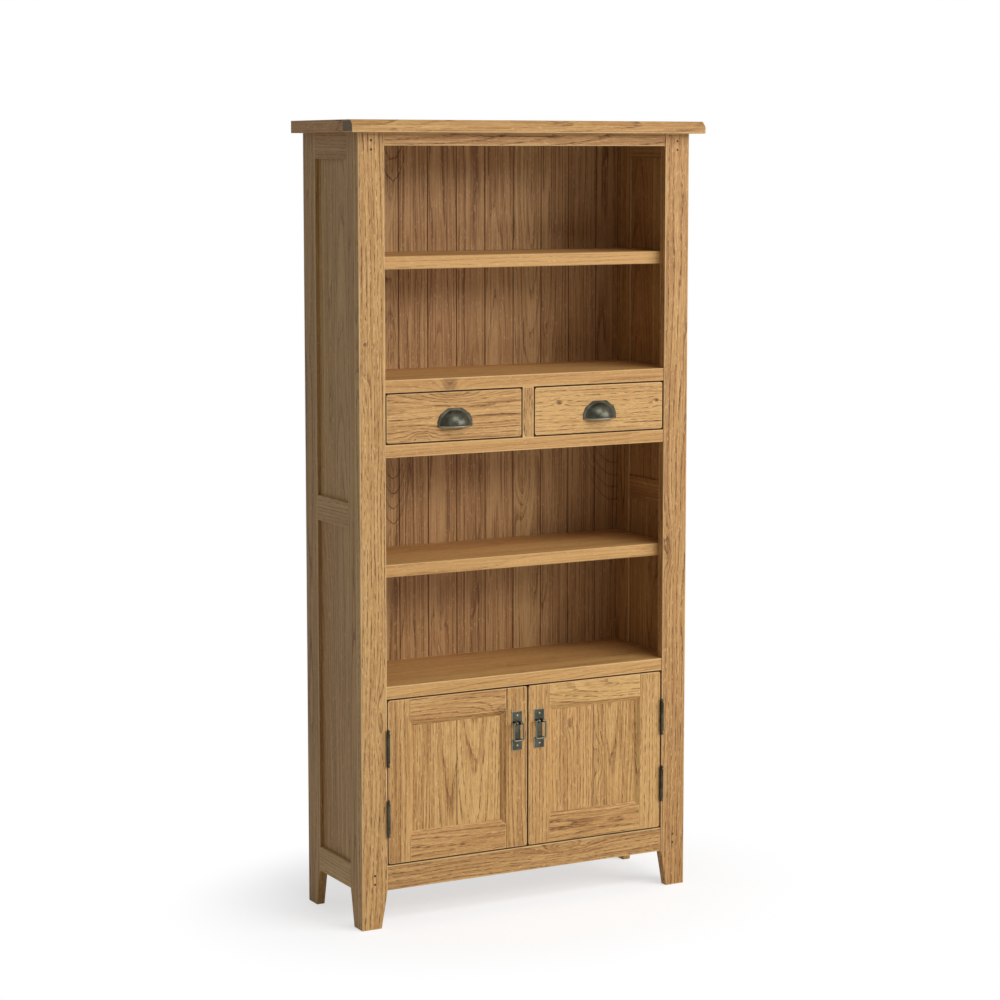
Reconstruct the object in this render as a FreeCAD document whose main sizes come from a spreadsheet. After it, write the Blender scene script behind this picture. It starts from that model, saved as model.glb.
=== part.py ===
import FreeCAD, Part
import math
import os
import re
import Sketcher

# A free-standing oak bookcase: two open bays, a pair of drawers, two more open bays and a
# cupboard with two framed doors. The origin is on the floor under the middle of the top,
# +X to the right seen from the front, +Y to the back and +Z up. Lengths are in millimetres.

SIZES = (
    # the case as a whole
    ("case_width", 892, "width over the two front stiles"),
    ("case_depth", 305, "depth from the stiles' face to the back edge of the sides"),
    ("foot_clear", 90, "clear height under the case, between the feet"),
    ("plinth_height", 59, "height of the rail under the doors"),
    ("door_opening", 400, "height of the cupboard's opening"),
    ("drawer_opening", 121, "height of the drawers' opening"),
    ("bay_height", 255, "clear height of each open bay"),
    ("board_thick", 30, "thickness of the fixed boards"),
    ("shelf_thick", 30, "thickness of the loose shelves"),
    ("top_rail_height", 30, "height of the front rail under the top"),
    ("front_inset", 2, "how far rails, doors and drawers lie behind the stiles' face"),
    ("arris", 1, "small bevel on the edges of the boards"),
    ("overrun", 4, "how far a cut runs past the wood"),
    # the top
    ("top_thick", 29, "thickness of the top"),
    ("overhang_side", 28, "overhang of the top at each side"),
    ("overhang_front", 31, "overhang of the top at the front"),
    ("overhang_back", 6, "overhang of the top at the back"),
    ("top_front_depth", 53, "depth of the board along the top's front"),
    ("top_end_width", 60, "width of the strips at the top's ends"),
    ("top_bevel", 13, "bevel along the top's front edge"),
    # the face frame
    ("stile_width", 67, "width of the front stiles"),
    ("stile_thick", 22, "thickness of the front stiles"),
    ("foot_front", 51, "width of the front stile where it meets the floor"),
    ("rail_thick", 20, "thickness of the front rails"),
    ("tenon_length", 40, "length of the front rails' tenons"),
    ("tenon_thick", 8, "thickness of the front rails' tenons"),
    ("tenon_shoulder", 4, "shoulder above and below each tenon"),
    ("tenon_clearance", 0.5, "room at the end of each mortise"),
    ("peg_radius", 3, "radius of the pegs through the tenons"),
    ("peg_length", 17, "length of the pegs"),
    ("peg_pitch", 21, "distance between the two pegs of a joint"),
    ("peg_drop", 18, "drop from the case's top edge to the first peg"),
    ("peg_clearance", 0.05, "radial room round a peg"),
    # the framed sides
    ("side_thick", 21, "thickness of the side frames"),
    ("side_stile_front", 42, "width of the side's front stile, behind the front stile"),
    ("side_stile_back", 66, "width of the side's back stile"),
    ("foot_side_front", 23, "width of the side's front stile at the floor"),
    ("foot_side_back", 46, "width of the side's back stile at the floor"),
    ("side_rail_height", 60, "height of the side rails"),
    ("mid_rail_level", 951, "height of the middle side rail's lower edge"),
    ("panel_thick", 8, "thickness of the side panels"),
    ("panel_recess", 9, "how far the side panels lie behind the frame's outer face"),
    ("groove_depth", 8, "depth of the grooves that hold the side panels"),
    ("panel_clearance", 0.5, "room for a panel to move in its groove"),
    # the back
    ("back_thick", 9, "thickness of the back boards"),
    ("back_rebate", 12, "width of the rebate that the back boards lie in"),
    ("tongue_length", 4, "length of the back boards' tongues"),
    ("tongue_thick", 3, "thickness of the back boards' tongues"),
    ("tongue_clearance", 0.4, "room at the bottom of the back boards' grooves"),
    ("vee", 1.5, "bevel of the vee between two back boards"),
    # shelves and fixed boards
    ("floor_thick", 20, "thickness of the cupboard's floor"),
    ("divider_width", 30, "width of the divider between the drawers"),
    ("shelf_gap", 1.5, "room at each end of a loose shelf"),
    ("shelf_setback", 3, "distance from the stiles' back to a loose shelf's front edge"),
    ("shelf_back_gap", 2, "room behind a loose shelf"),
    ("shelf_ease", 2, "bevel on the edges of the loose shelves"),
    ("pin_radius", 2.5, "radius of the shelf pins"),
    ("pin_depth", 12, "length of a shelf pin inside the wood"),
    ("pin_reach", 10, "length of a shelf pin under the shelf"),
    ("pin_clearance", 0.05, "radial room round a shelf pin"),
    # the drawers
    ("drawer_gap", 3, "gap at each side of a drawer front"),
    ("drawer_reveal", 3, "gap above and below a drawer front"),
    ("front_ease", 1.6, "bevel round the front edges of the drawers and doors"),
    ("front_corner", 4, "radius of the corners of the drawers and doors"),
    ("drawer_back_gap", 32, "room between a drawer and the back boards"),
    ("drawer_front_thick", 20, "thickness of a drawer front"),
    ("drawer_side_thick", 12, "thickness of a drawer's sides"),
    ("drawer_head_gap", 14.7, "room above a drawer's sides"),
    ("drawer_back_thick", 12, "thickness of a drawer's back"),
    ("drawer_lap", 6, "wood left in front of the drawer front's dovetails"),
    ("drawer_run_gap", 0.3, "room under a drawer's sides"),
    ("drawer_bottom_thick", 6, "thickness of a drawer's bottom"),
    ("drawer_bottom_rise", 10, "height of a drawer's bottom above the sides' lower edge"),
    ("drawer_bottom_groove", 5, "depth of the grooves that hold a drawer's bottom"),
    ("guide_height", 20, "height of the strips that guide the drawers"),
    ("guide_past", 13, "how far the strips run on behind a drawer"),
    # the cup pulls
    ("pull_half", 46, "half the width of a cup pull over its rim"),
    ("pull_height", 44, "height of a cup pull over its rim"),
    ("pull_reach", 25, "how far a cup pull stands out"),
    ("pull_rim", 4, "width of the flat rim round a cup pull"),
    ("pull_rim_thick", 2, "thickness of the flat rim"),
    ("pull_wall", 2, "thickness of a cup pull's shell"),
    ("pull_drop", 3, "how far a cup pull sits below the middle of its drawer front"),
    # the doors
    ("door_gap", 3, "gap between a door and its front stile"),
    ("door_meeting_gap", 3, "gap between the two doors"),
    ("door_reveal", 3, "gap above and below a door"),
    ("door_thick", 20, "thickness of a door"),
    ("door_stile", 58, "width of a door stile, without its bevel"),
    ("door_top_rail", 55, "height of a door's top rail, without its bevel"),
    ("door_bottom_rail", 60, "height of a door's bottom rail, without its bevel"),
    ("door_bevel", 12, "width of the bevel round a door's panel"),
    ("door_bevel_depth", 10, "depth of the bevel, and of the panel's face behind the frame's"),
    ("door_panel_thick", 7, "thickness of a door's panel"),
    ("door_groove", 8, "depth of the grooves that hold a door's panel"),
    # the catches that hold the doors shut
    ("catch_length", 44, "length of a catch over its flanges"),
    ("catch_block", 26, "length of a catch's block"),
    ("catch_height", 13, "height of a catch"),
    ("catch_depth", 14, "depth of a catch from front to back"),
    ("catch_flange", 2.5, "thickness of a catch's flanges"),
    ("catch_gap", 0.3, "gap between a catch and the plate that it holds"),
    ("strike_length", 30, "length of the steel plate on a door's back"),
    ("strike_height", 11, "height of the steel plate"),
    ("strike_thick", 1, "thickness of the steel plate"),
    ("strike_drop", 1, "distance from a door's top to its steel plate"),
    # the hinges
    ("barrel_radius", 4, "radius of a hinge's barrel"),
    ("barrel_length", 72, "length of a hinge's barrel"),
    ("barrel_clearance", 0.2, "room between a hinge's barrel and the stile's face"),
    ("knuckle_gap", 0.3, "gap between two knuckles of a hinge"),
    ("leaf_thick", 1.2, "thickness of a hinge's leaf"),
    ("leaf_width", 18, "width of a hinge's leaf in the gap beside the door"),
    ("leaf_setback", 0.3, "distance from the stile's face to a hinge's leaf"),
    ("hinge_pin_radius", 1.8, "radius of a hinge's pin"),
    ("hinge_bore_clearance", 0.06, "radial room round a hinge's pin"),
    ("finial_radius", 4, "radius of the ball at each end of a hinge's pin"),
    ("finial_neck", 1.5, "length of the neck under each ball"),
    ("hinge_top_margin", 77.5, "distance from a door's top to its upper hinge's barrel"),
    ("hinge_bottom_margin", 76, "distance from a door's bottom to its lower hinge's barrel"),
    # the door handles
    ("plate_width", 28, "width of a handle's plate at its ends"),
    ("plate_height", 96, "height of a handle's plate"),
    ("plate_thick", 2, "thickness of a handle's plate"),
    ("plate_tab", 27, "height of the square ends of a handle's plate"),
    ("plate_waist", 16, "width of a handle's plate between its ends"),
    ("plate_drop", 59, "distance from a door's top to its handle's plate"),
    ("plate_ease", 0.5, "bevel on the edges of a handle's plate"),
    ("pivot_drop", 28, "distance from the plate's top to the bail's pivot"),
    ("pivot_reach", 8.5, "distance from the plate's face to the bail's pivot"),
    ("ear_inner", 3.5, "distance from the plate's middle to an ear"),
    ("ear_width", 5, "width of an ear"),
    ("ear_radius", 4.2, "radius of an ear's rounded end"),
    ("bail_radius", 2, "radius of the bail's bar"),
    ("bail_half", 13, "half the width of the bail, between the middles of its bars"),
    ("bail_drop", 43, "distance from the pivot to the middle of the bail's lower bar"),
    ("bail_corner", 4, "radius of the bail's bends, at the middle of the bar"),
    ("bail_clearance", 0.08, "radial room round the bail in its ears"),
)

BACK_BOARDS = 11
KNUCKLE_END_SHARES = (0, 0.26, 0.74, 1)
FINIAL_TIP_SHARE = 0.5
FINIAL_RISE_SHARE = 0.6
PULL_CORNER_SHARES = (-1, -0.82, -0.58, -0.3, 0, 0.3, 0.58, 0.82, 1)
BEND_STEPS = 2
DOVETAILS = 4
TAIL_TIP_SHARE = 0.7
TAIL_BASE_SHARE = 0.5
FLATNESS_SHARE = 1e-9
RIGHT = "1"
LEFT = "-1"
FACING_BACK = FreeCAD.Rotation(FreeCAD.Vector(1, 0, 0), -90)
FACING_RIGHT = FreeCAD.Rotation(FreeCAD.Vector(0, 1, 0), 90)
QUARTER_TURN = 90
FULL_TURN = 360

doc = FreeCAD.newDocument("Bookcase")
sheet = doc.addObject("Spreadsheet::Sheet", "Sizes")
for row, (alias, value, meaning) in enumerate(SIZES, start=1):
    sheet.set(f"A{row}", meaning)
    sheet.set(f"B{row}", str(value))
    sheet.setAlias(f"B{row}", alias)
doc.recompute()

ALIASES = {alias for alias, value, meaning in SIZES}
WORD = re.compile(r"[a-z_]+")

# Levels and places that several pieces share, worked out from the sizes.
FLOOR_LEVEL = "(foot_clear + plinth_height)"
CUPBOARD_TOP_LEVEL = f"({FLOOR_LEVEL} + door_opening)"
LOWER_SHELF_LEVEL = f"({CUPBOARD_TOP_LEVEL} + board_thick + bay_height)"
DRAWER_BOTTOM_LEVEL = f"({LOWER_SHELF_LEVEL} + shelf_thick + bay_height)"
DRAWER_SPACE_LEVEL = f"({DRAWER_BOTTOM_LEVEL} + board_thick)"
DRAWER_TOP_LEVEL = f"({DRAWER_SPACE_LEVEL} + drawer_opening)"
UPPER_SHELF_LEVEL = f"({DRAWER_TOP_LEVEL} + board_thick + bay_height)"
TOP_RAIL_LEVEL = f"({UPPER_SHELF_LEVEL} + shelf_thick + bay_height)"
CASE_HEIGHT = f"({TOP_RAIL_LEVEL} + top_rail_height)"
TOP_WIDTH = "(case_width + 2 * overhang_side)"
TOP_DEPTH = "(overhang_front + case_depth + overhang_back)"
FRONT_Y = f"(overhang_front - {TOP_DEPTH} / 2)"
FACE_Y = f"({FRONT_Y} + front_inset)"
STILE_BACK_Y = f"({FRONT_Y} + stile_thick)"
BACK_Y = f"({FRONT_Y} + case_depth)"
BACK_FACE_Y = f"({BACK_Y} - back_thick)"
OPENING_HALF = "(case_width / 2 - stile_width)"
INNER_HALF = "(case_width / 2 - side_thick)"
DRAWER_LENGTH = "(case_depth - front_inset - back_thick - drawer_back_gap)"


def sized(text):
    """Put the sheet's name in front of each size that the text names."""
    def full_name(found):
        word = found.group()
        return "Sizes." + word if word in ALIASES else word
    return WORD.sub(full_name, text)


def bind(item, prop, text):
    item.setExpression(prop, sized(text))


def place(item, x="0", y="0", z="0"):
    for axis, text in zip("xyz", (x, y, z)):
        bind(item, "Placement.Base." + axis, text)


def new_body(label, x="0", y="0", z="0"):
    body = doc.addObject("PartDesign::Body", label)
    body.Label = label
    place(body, x, y, z)
    return body


def sketch_on(body, role, offset="0"):
    """An empty sketch on one of the body's own planes, moved along the plane's normal."""
    plane = next(item for item in body.Origin.OriginFeatures if item.Role == role)
    sketch = body.newObject("Sketcher::SketchObject", body.Label + "_sketch")
    sketch.AttachmentSupport = [(plane, "")]
    sketch.MapMode = "FlatFace"
    bind(sketch, "AttachmentOffset.Base.z", offset)
    return sketch


def fix_point(sketch, geometry, position, x, y):
    """Hold one point of the sketch at sized distances from its origin."""
    start = sketch.getPoint(geometry, position)
    for kind, text, value in (("DistanceX", x, start.x), ("DistanceY", y, start.y)):
        index = sketch.addConstraint(Sketcher.Constraint(kind, -1, 1, geometry, position, value))
        bind(sketch, f"Constraints[{index}]", text)


def draw_lines(sketch, points, closed):
    """Draw lines from point to point, each point given as a pair of sized distances."""
    count = len(points)
    first = sketch.GeometryCount
    lines = count if closed else count - 1
    seeds = [FreeCAD.Vector(math.cos(math.tau * i / count), math.sin(math.tau * i / count), 0)
             for i in range(count)]
    for i in range(lines):
        sketch.addGeometry(Part.LineSegment(seeds[i], seeds[(i + 1) % count]), False)
    for i in range(lines if closed else lines - 1):
        sketch.addConstraint(Sketcher.Constraint("Coincident", first + i, 2, first + (i + 1) % lines, 1))
    for i, (x, y) in enumerate(points[:lines]):
        fix_point(sketch, first + i, 1, x, y)
    if not closed:
        fix_point(sketch, first + lines - 1, 2, *points[-1])


def draw_outline(sketch, points):
    draw_lines(sketch, points, closed=True)


def draw_rectangle(sketch, low, high):
    draw_outline(sketch, (low, (high[0], low[1]), high, (low[0], high[1])))


def draw_circle(sketch, x, y, radius):
    unit = Part.Circle(FreeCAD.Vector(0, 0, 0), FreeCAD.Vector(0, 0, 1), 1)
    circle = sketch.addGeometry(unit, False)
    fix_point(sketch, circle, 3, x, y)
    index = sketch.addConstraint(Sketcher.Constraint("Radius", circle, unit.Radius))
    bind(sketch, f"Constraints[{index}]", radius)


def pad(body, sketch, length, reverse=False):
    feature = body.newObject("PartDesign::Pad", body.Label + "_pad")
    feature.Profile = sketch
    bind(feature, "Length", length)
    feature.Reversed = reverse
    doc.recompute()
    return feature


def pocket(body, sketch, depth, reverse=False):
    """Cut the sketch into the body, and stop the build if it cuts nothing."""
    before = body.Tip.Shape.Volume
    feature = body.newObject("PartDesign::Pocket", body.Label + "_pocket")
    feature.Profile = sketch
    bind(feature, "Length", depth)
    feature.Reversed = reverse
    doc.recompute()
    if not feature.Shape.Volume < before:
        raise ValueError(f"a pocket of {body.Label} cuts nothing")
    return feature


def turned(body, kind, sketch, axis, angle):
    """Turn the sketch about one of its axes, to add wood or metal or to cut it away."""
    feature = body.newObject("PartDesign::" + kind, f"{body.Label}_{kind}")
    feature.Profile = sketch
    feature.ReferenceAxis = (sketch, [axis])
    feature.Angle = angle
    feature.Reversed = True
    doc.recompute()
    return feature


def ease_edges(body, size):
    """Bevel every edge of a body that has no inner corners yet."""
    base = body.Tip
    feature = body.newObject("PartDesign::Chamfer", body.Label + "_arris")
    feature.Base = (base, ["Edge1"])
    feature.UseAllEdges = True
    bind(feature, "Size", size)
    doc.recompute()


def edge_names(body, test):
    """The names of the body's edges whose bounding box passes the test."""
    return [f"Edge{i}" for i, edge in enumerate(body.Tip.Shape.Edges, start=1) if test(edge.BoundBox)]


def nearly_zero(body):
    return body.Tip.Shape.BoundBox.DiagonalLength * FLATNESS_SHARE


def shape_edges(body, kind, prop, size, names):
    """Bevel or round the named edges."""
    base = body.Tip
    feature = body.newObject("PartDesign::" + kind, f"{body.Label}_{kind}")
    feature.Base = (base, names)
    bind(feature, prop, size)
    doc.recompute()


def ease_front_edges(body, size):
    """Bevel only the edges round the body's front face, which lies on its own XZ plane."""
    near = nearly_zero(body)
    names = edge_names(body, lambda box: max(abs(box.YMin), abs(box.YMax)) < near)
    shape_edges(body, "Chamfer", "Size", size, names)


def round_corners(body, radius, outer_faces):
    """Round the corners where two of the named outer faces meet, seen from the front."""
    near = nearly_zero(body)
    whole = body.Tip.Shape.BoundBox

    def is_corner(box):
        faces = [face for face in outer_faces if abs(getattr(box, face) - getattr(whole, face)) < near]
        return max(box.XLength, box.ZLength) < near and len(faces) == 2
    shape_edges(body, "Fillet", "Radius", radius, edge_names(body, is_corner))


def ease_outer_edges(body, size, outer_faces):
    """Bevel the front edges that lie along the named outer faces, and the rounded corners between them."""
    near = nearly_zero(body)
    whole = body.Tip.Shape.BoundBox

    def is_outer(box):
        on_front = max(abs(box.YMin), abs(box.YMax)) < near
        return on_front and any(abs(getattr(box, face) - getattr(whole, face)) < near for face in outer_faces)
    shape_edges(body, "Chamfer", "Size", size, edge_names(body, is_outer))


def board(label, lengths, corner, ease="arris"):
    """A plain board: its three lengths, and the corner with the lowest x, y and z."""
    body = new_body(label, *corner)
    sketch = sketch_on(body, "XY_Plane")
    draw_rectangle(sketch, ("0", "0"), (lengths[0], lengths[1]))
    pad(body, sketch, lengths[2])
    if ease:
        ease_edges(body, ease)
    return body


def primitive(kind, label, corner, rotation=None, **lengths):
    """A Part primitive with its lengths bound to the sheet."""
    item = doc.addObject("Part::" + kind, label)
    for prop, text in lengths.items():
        bind(item, prop, text)
    if rotation is not None:
        item.Placement.Rotation = rotation
    place(item, *corner)
    return item


def fused(label, items):
    result = doc.addObject("Part::MultiFuse", label)
    result.Shapes = items
    return result


def cut(label, base, tool):
    result = doc.addObject("Part::Cut", label)
    result.Base = base
    result.Tool = tool
    return result


def group(label, items):
    """Several separate solids of one kind under one name."""
    result = doc.addObject("Part::Compound", label)
    result.Links = items
    result.Label = label
    return result


def side_name(side):
    return "right" if side == RIGHT else "left"


# The top: a front board from end to end, a strip at each end and the panel between them.

def top_front_board():
    body = new_body("top_front_board", f"-{TOP_WIDTH} / 2", f"-{TOP_DEPTH} / 2", CASE_HEIGHT)
    section = sketch_on(body, "YZ_Plane")
    draw_outline(section, (("0", "0"), ("top_front_depth", "0"), ("top_front_depth", "top_thick"),
                           ("top_bevel", "top_thick"), ("0", "top_thick - top_bevel")))
    pad(body, section, TOP_WIDTH)
    ease_edges(body, "arris")
    return body


def top_boards():
    back_depth = f"({TOP_DEPTH} - top_front_depth)"
    joint_y = f"(top_front_depth - {TOP_DEPTH} / 2)"
    panel = board("top_panel", (f"{TOP_WIDTH} - 2 * top_end_width", back_depth, "top_thick"),
                  (f"top_end_width - {TOP_WIDTH} / 2", joint_y, CASE_HEIGHT))
    starts = {"left": f"-{TOP_WIDTH} / 2", "right": f"{TOP_WIDTH} / 2 - top_end_width"}
    strips = [board(f"top_{name}_end", ("top_end_width", back_depth, "top_thick"), (x, joint_y, CASE_HEIGHT))
              for name, x in starts.items()]
    return [top_front_board(), panel, group("top_end_strips", strips)]


# The face frame: two stiles that run down into tapered feet, and two tenoned rails.

def peg_levels():
    plinth_middle = "(foot_clear + plinth_height / 2)"
    return [f"({CASE_HEIGHT} - peg_drop)", f"({CASE_HEIGHT} - peg_drop - peg_pitch)",
            f"({plinth_middle} + peg_pitch / 2)", f"({plinth_middle} - peg_pitch / 2)"]


def peg_across(side):
    return f"{side} * (case_width / 2 - stile_width / 2)"


def front_stile(side):
    inner = f"{side} * {OPENING_HALF}"
    outer = f"{side} * case_width / 2"
    body = new_body("front_stile_" + side_name(side), y=FRONT_Y)
    outline = sketch_on(body, "XZ_Plane")
    draw_outline(outline, ((outer, "0"), (outer, CASE_HEIGHT), (inner, CASE_HEIGHT), (inner, "foot_clear"),
                           (f"{side} * (case_width / 2 - foot_front)", "0")))
    pad(body, outline, "stile_thick", reverse=True)
    ease_edges(body, "arris")
    mortises = sketch_on(body, "XZ_Plane", "(tenon_thick - stile_thick) / 2")
    open_end = f"{side} * ({OPENING_HALF} - overrun)"
    blind_end = f"{side} * ({OPENING_HALF} + tenon_length + tenon_clearance)"
    for low, height in ((TOP_RAIL_LEVEL, "top_rail_height"), ("foot_clear", "plinth_height")):
        draw_rectangle(mortises, (open_end, f"{low} + tenon_shoulder"),
                       (blind_end, f"{low} + {height} - tenon_shoulder"))
    pocket(body, mortises, "tenon_thick")
    holes = sketch_on(body, "XZ_Plane")
    for level in peg_levels():
        draw_circle(holes, peg_across(side), level, "peg_radius + peg_clearance")
    pocket(body, holes, "peg_length")
    return body


def front_rail(label, low, height, levels):
    """A rail between the front stiles, with a tenon at each end that the pegs pass through."""
    body = new_body(label, y=FACE_Y, z=low)
    face = sketch_on(body, "XZ_Plane")
    draw_rectangle(face, (f"-{OPENING_HALF}", "0"), (OPENING_HALF, height))
    pad(body, face, "rail_thick", reverse=True)
    ease_edges(body, "arris")
    tenon_plane = "front_inset - (stile_thick - tenon_thick) / 2"
    tenon = sketch_on(body, "XZ_Plane", tenon_plane)
    draw_rectangle(tenon, (f"-{OPENING_HALF} - tenon_length", "tenon_shoulder"),
                   (f"{OPENING_HALF} + tenon_length", f"{height} - tenon_shoulder"))
    pad(body, tenon, "tenon_thick", reverse=True)
    holes = sketch_on(body, "XZ_Plane", tenon_plane)
    for side in (LEFT, RIGHT):
        for level in levels:
            draw_circle(holes, peg_across(side), f"{level} - {low}", "peg_radius + peg_clearance")
    pocket(body, holes, "tenon_thick")
    return body


def frame_pegs():
    pegs = [primitive("Cylinder", f"peg_{side_name(side)}", (peg_across(side), FRONT_Y, level), FACING_BACK,
                      Radius="peg_radius", Height="peg_length")
            for side in (LEFT, RIGHT) for level in peg_levels()]
    return group("frame_pegs", pegs)


def face_frame():
    levels = peg_levels()
    return [front_stile(LEFT), front_stile(RIGHT),
            front_rail("front_top_rail", TOP_RAIL_LEVEL, "top_rail_height", levels[:1]),
            front_rail("plinth_rail", "foot_clear", "plinth_height", levels[2:]), frame_pegs()]


# The sides: each is a frame of two stiles and three rails round two panels in grooves.

def side_x(side):
    return "(case_width / 2 - side_thick)" if side == RIGHT else "(-case_width / 2)"


def from_outside(side, inset, depth):
    """The lowest x, inside a side frame, of a cut or panel that lies at an inset behind its outer face."""
    return f"side_thick - {inset} - {depth}" if side == RIGHT else inset


def from_inside(side, depth):
    """The lowest x, inside a side frame, of a cut of the given depth from its inner face."""
    return "0" if side == RIGHT else f"side_thick - {depth}"


def shelf_pin_levels():
    return [f"({level} - pin_radius)" for level in (LOWER_SHELF_LEVEL, UPPER_SHELF_LEVEL)]


def cut_panel_groove(body, side, low, high):
    groove = sketch_on(body, "YZ_Plane", from_outside(side, "panel_recess", "panel_thick"))
    draw_rectangle(groove, low, high)
    pocket(body, groove, "panel_thick", reverse=True)


def cut_pin_holes(body, side, y):
    holes = sketch_on(body, "YZ_Plane", from_inside(side, "pin_depth"))
    for level in shelf_pin_levels():
        draw_circle(holes, y, level, "pin_radius + pin_clearance")
    pocket(body, holes, "pin_depth", reverse=True)


def side_stile_front(side):
    body = new_body("side_stile_front_" + side_name(side), side_x(side), STILE_BACK_Y)
    outline = sketch_on(body, "YZ_Plane")
    draw_outline(outline, (("0", "0"), ("foot_side_front", "0"), ("side_stile_front", "foot_clear"),
                           ("side_stile_front", CASE_HEIGHT), ("0", CASE_HEIGHT)))
    pad(body, outline, "side_thick")
    ease_edges(body, "arris")
    cut_panel_groove(body, side, ("side_stile_front - groove_depth", "foot_clear"),
                     ("side_stile_front + overrun", f"{CASE_HEIGHT} + overrun"))
    cut_pin_holes(body, side, "side_stile_front / 2")
    return body


def side_stile_back(side):
    """The back stile also has the rebate that the back boards lie in."""
    body = new_body("side_stile_back_" + side_name(side), side_x(side), f"{BACK_Y} - side_stile_back")
    outline = sketch_on(body, "YZ_Plane")
    draw_outline(outline, (("side_stile_back - foot_side_back", "0"), ("side_stile_back", "0"),
                           ("side_stile_back", CASE_HEIGHT), ("0", CASE_HEIGHT), ("0", "foot_clear")))
    pad(body, outline, "side_thick")
    ease_edges(body, "arris")
    cut_panel_groove(body, side, ("-overrun", "foot_clear"), ("groove_depth", f"{CASE_HEIGHT} + overrun"))
    rebate = sketch_on(body, "YZ_Plane", from_inside(side, "back_rebate"))
    draw_rectangle(rebate, ("side_stile_back - back_thick", f"{FLOOR_LEVEL} - floor_thick"),
                   ("side_stile_back + overrun", f"{CASE_HEIGHT} + overrun"))
    pocket(body, rebate, "back_rebate", reverse=True)
    cut_pin_holes(body, side, "side_stile_back / 2")
    return body


RAIL_SPAN = "(case_depth - stile_thick - side_stile_front - side_stile_back)"
RAIL_Y = f"({STILE_BACK_Y} + side_stile_front)"
PANEL_GRIP = "(groove_depth - panel_clearance)"


def side_rail(label, side, low, grooved_edges):
    body = new_body(label, side_x(side), RAIL_Y, low)
    face = sketch_on(body, "YZ_Plane")
    draw_rectangle(face, ("0", "0"), (RAIL_SPAN, "side_rail_height"))
    pad(body, face, "side_thick")
    ease_edges(body, "arris")
    core = sketch_on(body, "YZ_Plane", from_outside(side, "panel_recess", "panel_thick"))
    draw_rectangle(core, (f"-{PANEL_GRIP}", "0"), (f"{RAIL_SPAN} + {PANEL_GRIP}", "side_rail_height"))
    pad(body, core, "panel_thick")
    for edge in grooved_edges:
        levels = ("-overrun", "groove_depth") if edge == "lower" else \
            ("side_rail_height - groove_depth", "side_rail_height + overrun")
        cut_panel_groove(body, side, (f"-{PANEL_GRIP} - overrun", levels[0]),
                         (f"{RAIL_SPAN} + {PANEL_GRIP} + overrun", levels[1]))
    return body


def side_rails(side):
    name = side_name(side)
    return group("side_rails_" + name,
                 [side_rail("side_top_rail_" + name, side, f"({CASE_HEIGHT} - side_rail_height)", ["lower"]),
                  side_rail("side_middle_rail_" + name, side, "mid_rail_level", ["lower", "upper"]),
                  side_rail("side_bottom_rail_" + name, side, "foot_clear", ["upper"])])


def side_panel(label, side, low, high):
    """A panel between two rails, held in the grooves all round."""
    width = f"{RAIL_SPAN} + 2 * {PANEL_GRIP}"
    height = f"{high} - {low} + 2 * {PANEL_GRIP}"
    return board(label, ("panel_thick", width, height),
                 (f"{side_x(side)} + {from_outside(side, 'panel_recess', 'panel_thick')}",
                  f"{RAIL_Y} - {PANEL_GRIP}", f"{low} - {PANEL_GRIP}"), ease=None)


def side_frame(side):
    name = side_name(side)
    middle_top = "(mid_rail_level + side_rail_height)"
    return [side_stile_front(side), side_stile_back(side), side_rails(side),
            side_panel("side_panel_upper_" + name, side, middle_top, f"({CASE_HEIGHT} - side_rail_height)"),
            side_panel("side_panel_lower_" + name, side, "(foot_clear + side_rail_height)", "mid_rail_level")]


# The back: tongued and grooved boards with a vee at each joint.

def back_board(number):
    width = f"(2 * ({INNER_HALF} + back_rebate) / {BACK_BOARDS})"
    body = new_body(f"back_board_{number + 1}", f"-{INNER_HALF} - back_rebate + {number} * {width}",
                    BACK_FACE_Y, f"{FLOOR_LEVEL} - floor_thick")
    near = "((back_thick - tongue_thick) / 2)"
    far = "((back_thick + tongue_thick) / 2)"
    tongue_end = f"{width} + tongue_length"
    groove_end = "tongue_length + tongue_clearance"
    outline = [("0", "vee"), ("vee", "0"), (f"{width} - vee", "0"), (width, "vee")]
    if number < BACK_BOARDS - 1:
        outline += [(width, near), (tongue_end, near), (tongue_end, far), (width, far)]
    outline += [(width, "back_thick"), ("0", "back_thick")]
    if number > 0:
        outline += [("0", far), (groove_end, far), (groove_end, near), ("0", near)]
    section = sketch_on(body, "XY_Plane")
    draw_outline(section, outline)
    pad(body, section, f"{CASE_HEIGHT} - {FLOOR_LEVEL} + floor_thick")
    return body


def back():
    return [group("back_boards", [back_board(number) for number in range(BACK_BOARDS)])]


# The boards across the case: three fixed ones between the stiles and two loose shelves.

def fixed_board(label, low):
    """A board that is notched round the two front stiles and reaches the sides behind them."""
    body = new_body(label, y=FACE_Y, z=low)
    notch = "(stile_thick - front_inset)"
    depth = f"({BACK_FACE_Y} - {FACE_Y})"
    outline = sketch_on(body, "XY_Plane")
    draw_outline(outline, ((f"-{INNER_HALF}", depth), (f"-{INNER_HALF}", notch), (f"-{OPENING_HALF}", notch),
                           (f"-{OPENING_HALF}", "0"), (OPENING_HALF, "0"), (OPENING_HALF, notch),
                           (INNER_HALF, notch), (INNER_HALF, depth)))
    pad(body, outline, "board_thick")
    ease_front_edges(body, "arris")
    return body


def loose_shelf(label, low):
    front = f"({STILE_BACK_Y} + shelf_setback)"
    depth = f"{BACK_FACE_Y} - shelf_back_gap - {front}"
    return board(label, (f"2 * ({INNER_HALF} - shelf_gap)", depth, "shelf_thick"),
                 (f"shelf_gap - {INNER_HALF}", front, low), ease="shelf_ease")


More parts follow.
